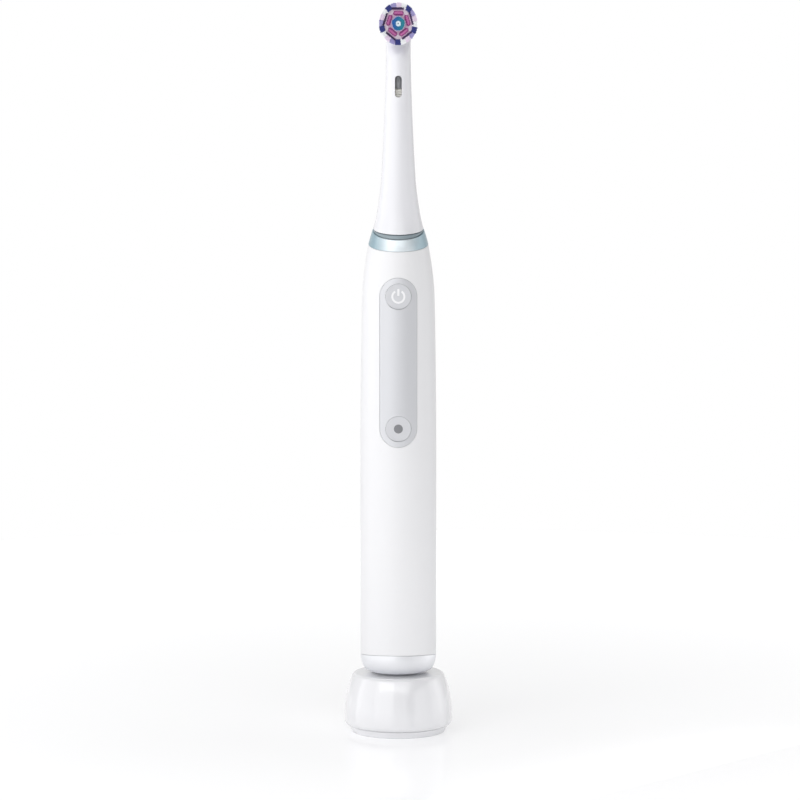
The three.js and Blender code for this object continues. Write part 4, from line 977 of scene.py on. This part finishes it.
def make_filament():
    """One filament, standing along -Y from the origin, with a narrowed tip."""
    sweep_clear()
    bpy.ops.mesh.primitive_cylinder_add(
        vertices=6, radius=FILAMENT_RADIUS * MM, depth=1 * MM,
        rotation=(math.pi / 2, math.pi / 6, 0), location=(0, -0.5 * MM, 0))
    strand = bpy.context.object
    settle()
    faces = strand.data.polygons
    open_parts("FACE", faces, [face.center.y < -0.9 * MM for face in faces])
    draw_out((0, -0.05 * MM, 0))
    bpy.ops.transform.resize(value=(0.86, 1, 0.86))
    bpy.ops.object.mode_set(mode="OBJECT")
    return strand


filament = make_filament()
# The glow given to the pale nylons here is a painted glow, an emission of their own colour.
outer_white = nylon("nylon_white", srgb(252, 253, 255), glow=0.08)
outer = ("bristle_indigo", "outer_tuft")
inner = ("bristle_magenta", "inner_tuft")
centre = ("bristle_teal", "centre_tuft")
looks = {  # each kind's nylon, finish slot and the nodes it stands for
    "dark": (nylon("nylon_indigo", srgb(54, 64, 148)), *outer),
    "lavender": (nylon("nylon_lavender", srgb(178, 170, 222), glow=0.05), *outer),
    "blush": (nylon("nylon_blush", srgb(250, 234, 253), glow=0.04), *outer),
    "white": (outer_white, *outer),
    "groove": (nylon("nylon_plum_painted_shade", srgb(72, 48, 98)), *outer),
    "corner": (outer_white, *outer),
    "rim": (nylon("nylon_magenta", srgb(154, 52, 132)), *inner),
    "pink": (nylon("nylon_pink", srgb(220, 122, 190)), *inner),
    "crown": (nylon("nylon_blue_green", srgb(44, 118, 204), srgb(36, 148, 170)), *centre),
    "edge": (nylon("nylon_edge", srgb(214, 202, 232)), *centre),
    "core": (nylon("nylon_ice", srgb(240, 250, 255), glow=0.1), *centre),
    "field": (nylon("nylon_mauve", srgb(212, 180, 206), glow=0.05), "bristle_magenta", None),
    "pale": (nylon("nylon_lilac", srgb(236, 222, 234), glow=0.05), "bristle_magenta", None),
}


def sort_strand(x, z):
    """Which tuft a filament belongs to, from where its tip is: (tuft, sector, length)."""
    z /= (1 + spread_z) / (1 + spread_x)
    radius, angle = math.hypot(x, z), math.degrees(math.atan2(z, x)) % 360
    if radius < 0.28:
        return None
    if radius < 0.88:
        return ("core", 0, 7.45)
    crown = 2.3 + 0.09 * math.cos(math.radians(5 * (angle - 90)))
    if radius < crown:
        return ("crown", 0, 7.4)
    if radius < crown + 0.25:
        return ("edge", 0, 7.3)
    for k in range(5):
        middle = math.radians(pad_turn + fifth * k)
        out = x * math.cos(middle) + z * math.sin(middle) - 3.48
        along = -x * math.sin(middle) + z * math.cos(middle)
        reach = math.hypot(out, max(abs(along) - 1.12, 0))
        if reach < 0.8:
            deep = reach > 0.5 or out < -0.25
            return ("rim" if deep else "pink", k, 6.95 if deep else 7.0)
    quarter = (133.7 - angle) % fifth
    if quarter < 18 and 5.2 < radius < 7.04:
        return ("dark", int((angle + 10) // fifth), longest)
    k = int((angle - block_turn + fifth / 2) % 360 // fifth)
    facing = math.radians(block_turn + fifth * k)
    out = x * math.cos(facing) + z * math.sin(facing)
    along = x * math.sin(facing) - z * math.cos(facing)
    chord = 4.7 - 0.05 * along
    if out < chord:
        beside = abs((angle - pad_turn) % fifth - fifth / 2)  # from the middle between two pads
        return ("pale" if radius > 3.9 and beside < 13 else "field", 0, 6.85)
    # Painted shade: a row of dark plum filaments, a little shorter, fills the gap between the outer
    # blocks and the field, where shade falls.
    if out < chord + 0.66:
        return ("groove", k, 6.9) if along < 2.2 else ("corner", k, 7.4)
    if radius > 6.95 or quarter % 18 < 0.7 or quarter < 18:
        return None
    return (("lavender", "blush", "white")[int(quarter // 18) - 1], k, longest)


tufts = {}
row_pitch = PITCH * math.sin(math.pi / 3)
rows = int(16.2 / row_pitch)
for row in range(-rows // 2, rows // 2 + 1):
    for column in range(-31, 32):
        x = (column + (row % 2) / 2) * PITCH + strands.uniform(-0.01, 0.01)
        z = row * row_pitch + strands.uniform(-0.01, 0.01)
        found = sort_strand(x, z)
        if found:
            kind, sector, length = found
            length += strands.uniform(-0.12, 0.0)
            tufts.setdefault((kind, sector), []).append((x, z, length))


def plant(name, places):
    """Stands a copy of the filament at each place, leaning outward, and joins them up."""
    copies = []
    for x, z, length in places:
        stretch = length + 0.15
        share = stretch / longest
        root = Vector((x / (1 + spread_x), z / (1 + spread_z)))
        tip = Vector((root.x * (1 + spread_x * share), root.y * (1 + spread_z * share)))
        shape = filament.data.copy()
        shape.transform(Matrix((
            (1, -(tip.x - root.x), 0, root.x * MM),
            (0, stretch, 0, root_y * MM),
            (0, -(tip.y - root.y), 1, (disc_level + root.y) * MM),
            (0, 0, 0, 1))))
        copy = bpy.data.objects.new(name, shape)
        bpy.context.collection.objects.link(copy)
        copies.append(copy)
    join(copies)
    return take_name(name)


for (kind, sector), places in sorted(tufts.items()):
    material, slot, family = looks[kind]
    single = kind in ("crown", "edge", "core", "field", "pale")
    tuft = plant(f"{kind}_tuft" if single else f"{kind}_tuft_{sector + 1}", places)
    stands_for = [] if family is None else [family if single else f"{family}_{sector + 1}"]
    finish_piece(tuft, "brush_disc", material, slot, *stands_for, angle=50)
bpy.data.objects.remove(filament)
centre_pin = bar_along_y("crown_pin", 0.22, -8.6, -3.5, disc_level, 0.05, 24)
finish_piece(centre_pin, "brush_disc", bright_steel, "bright_steel")
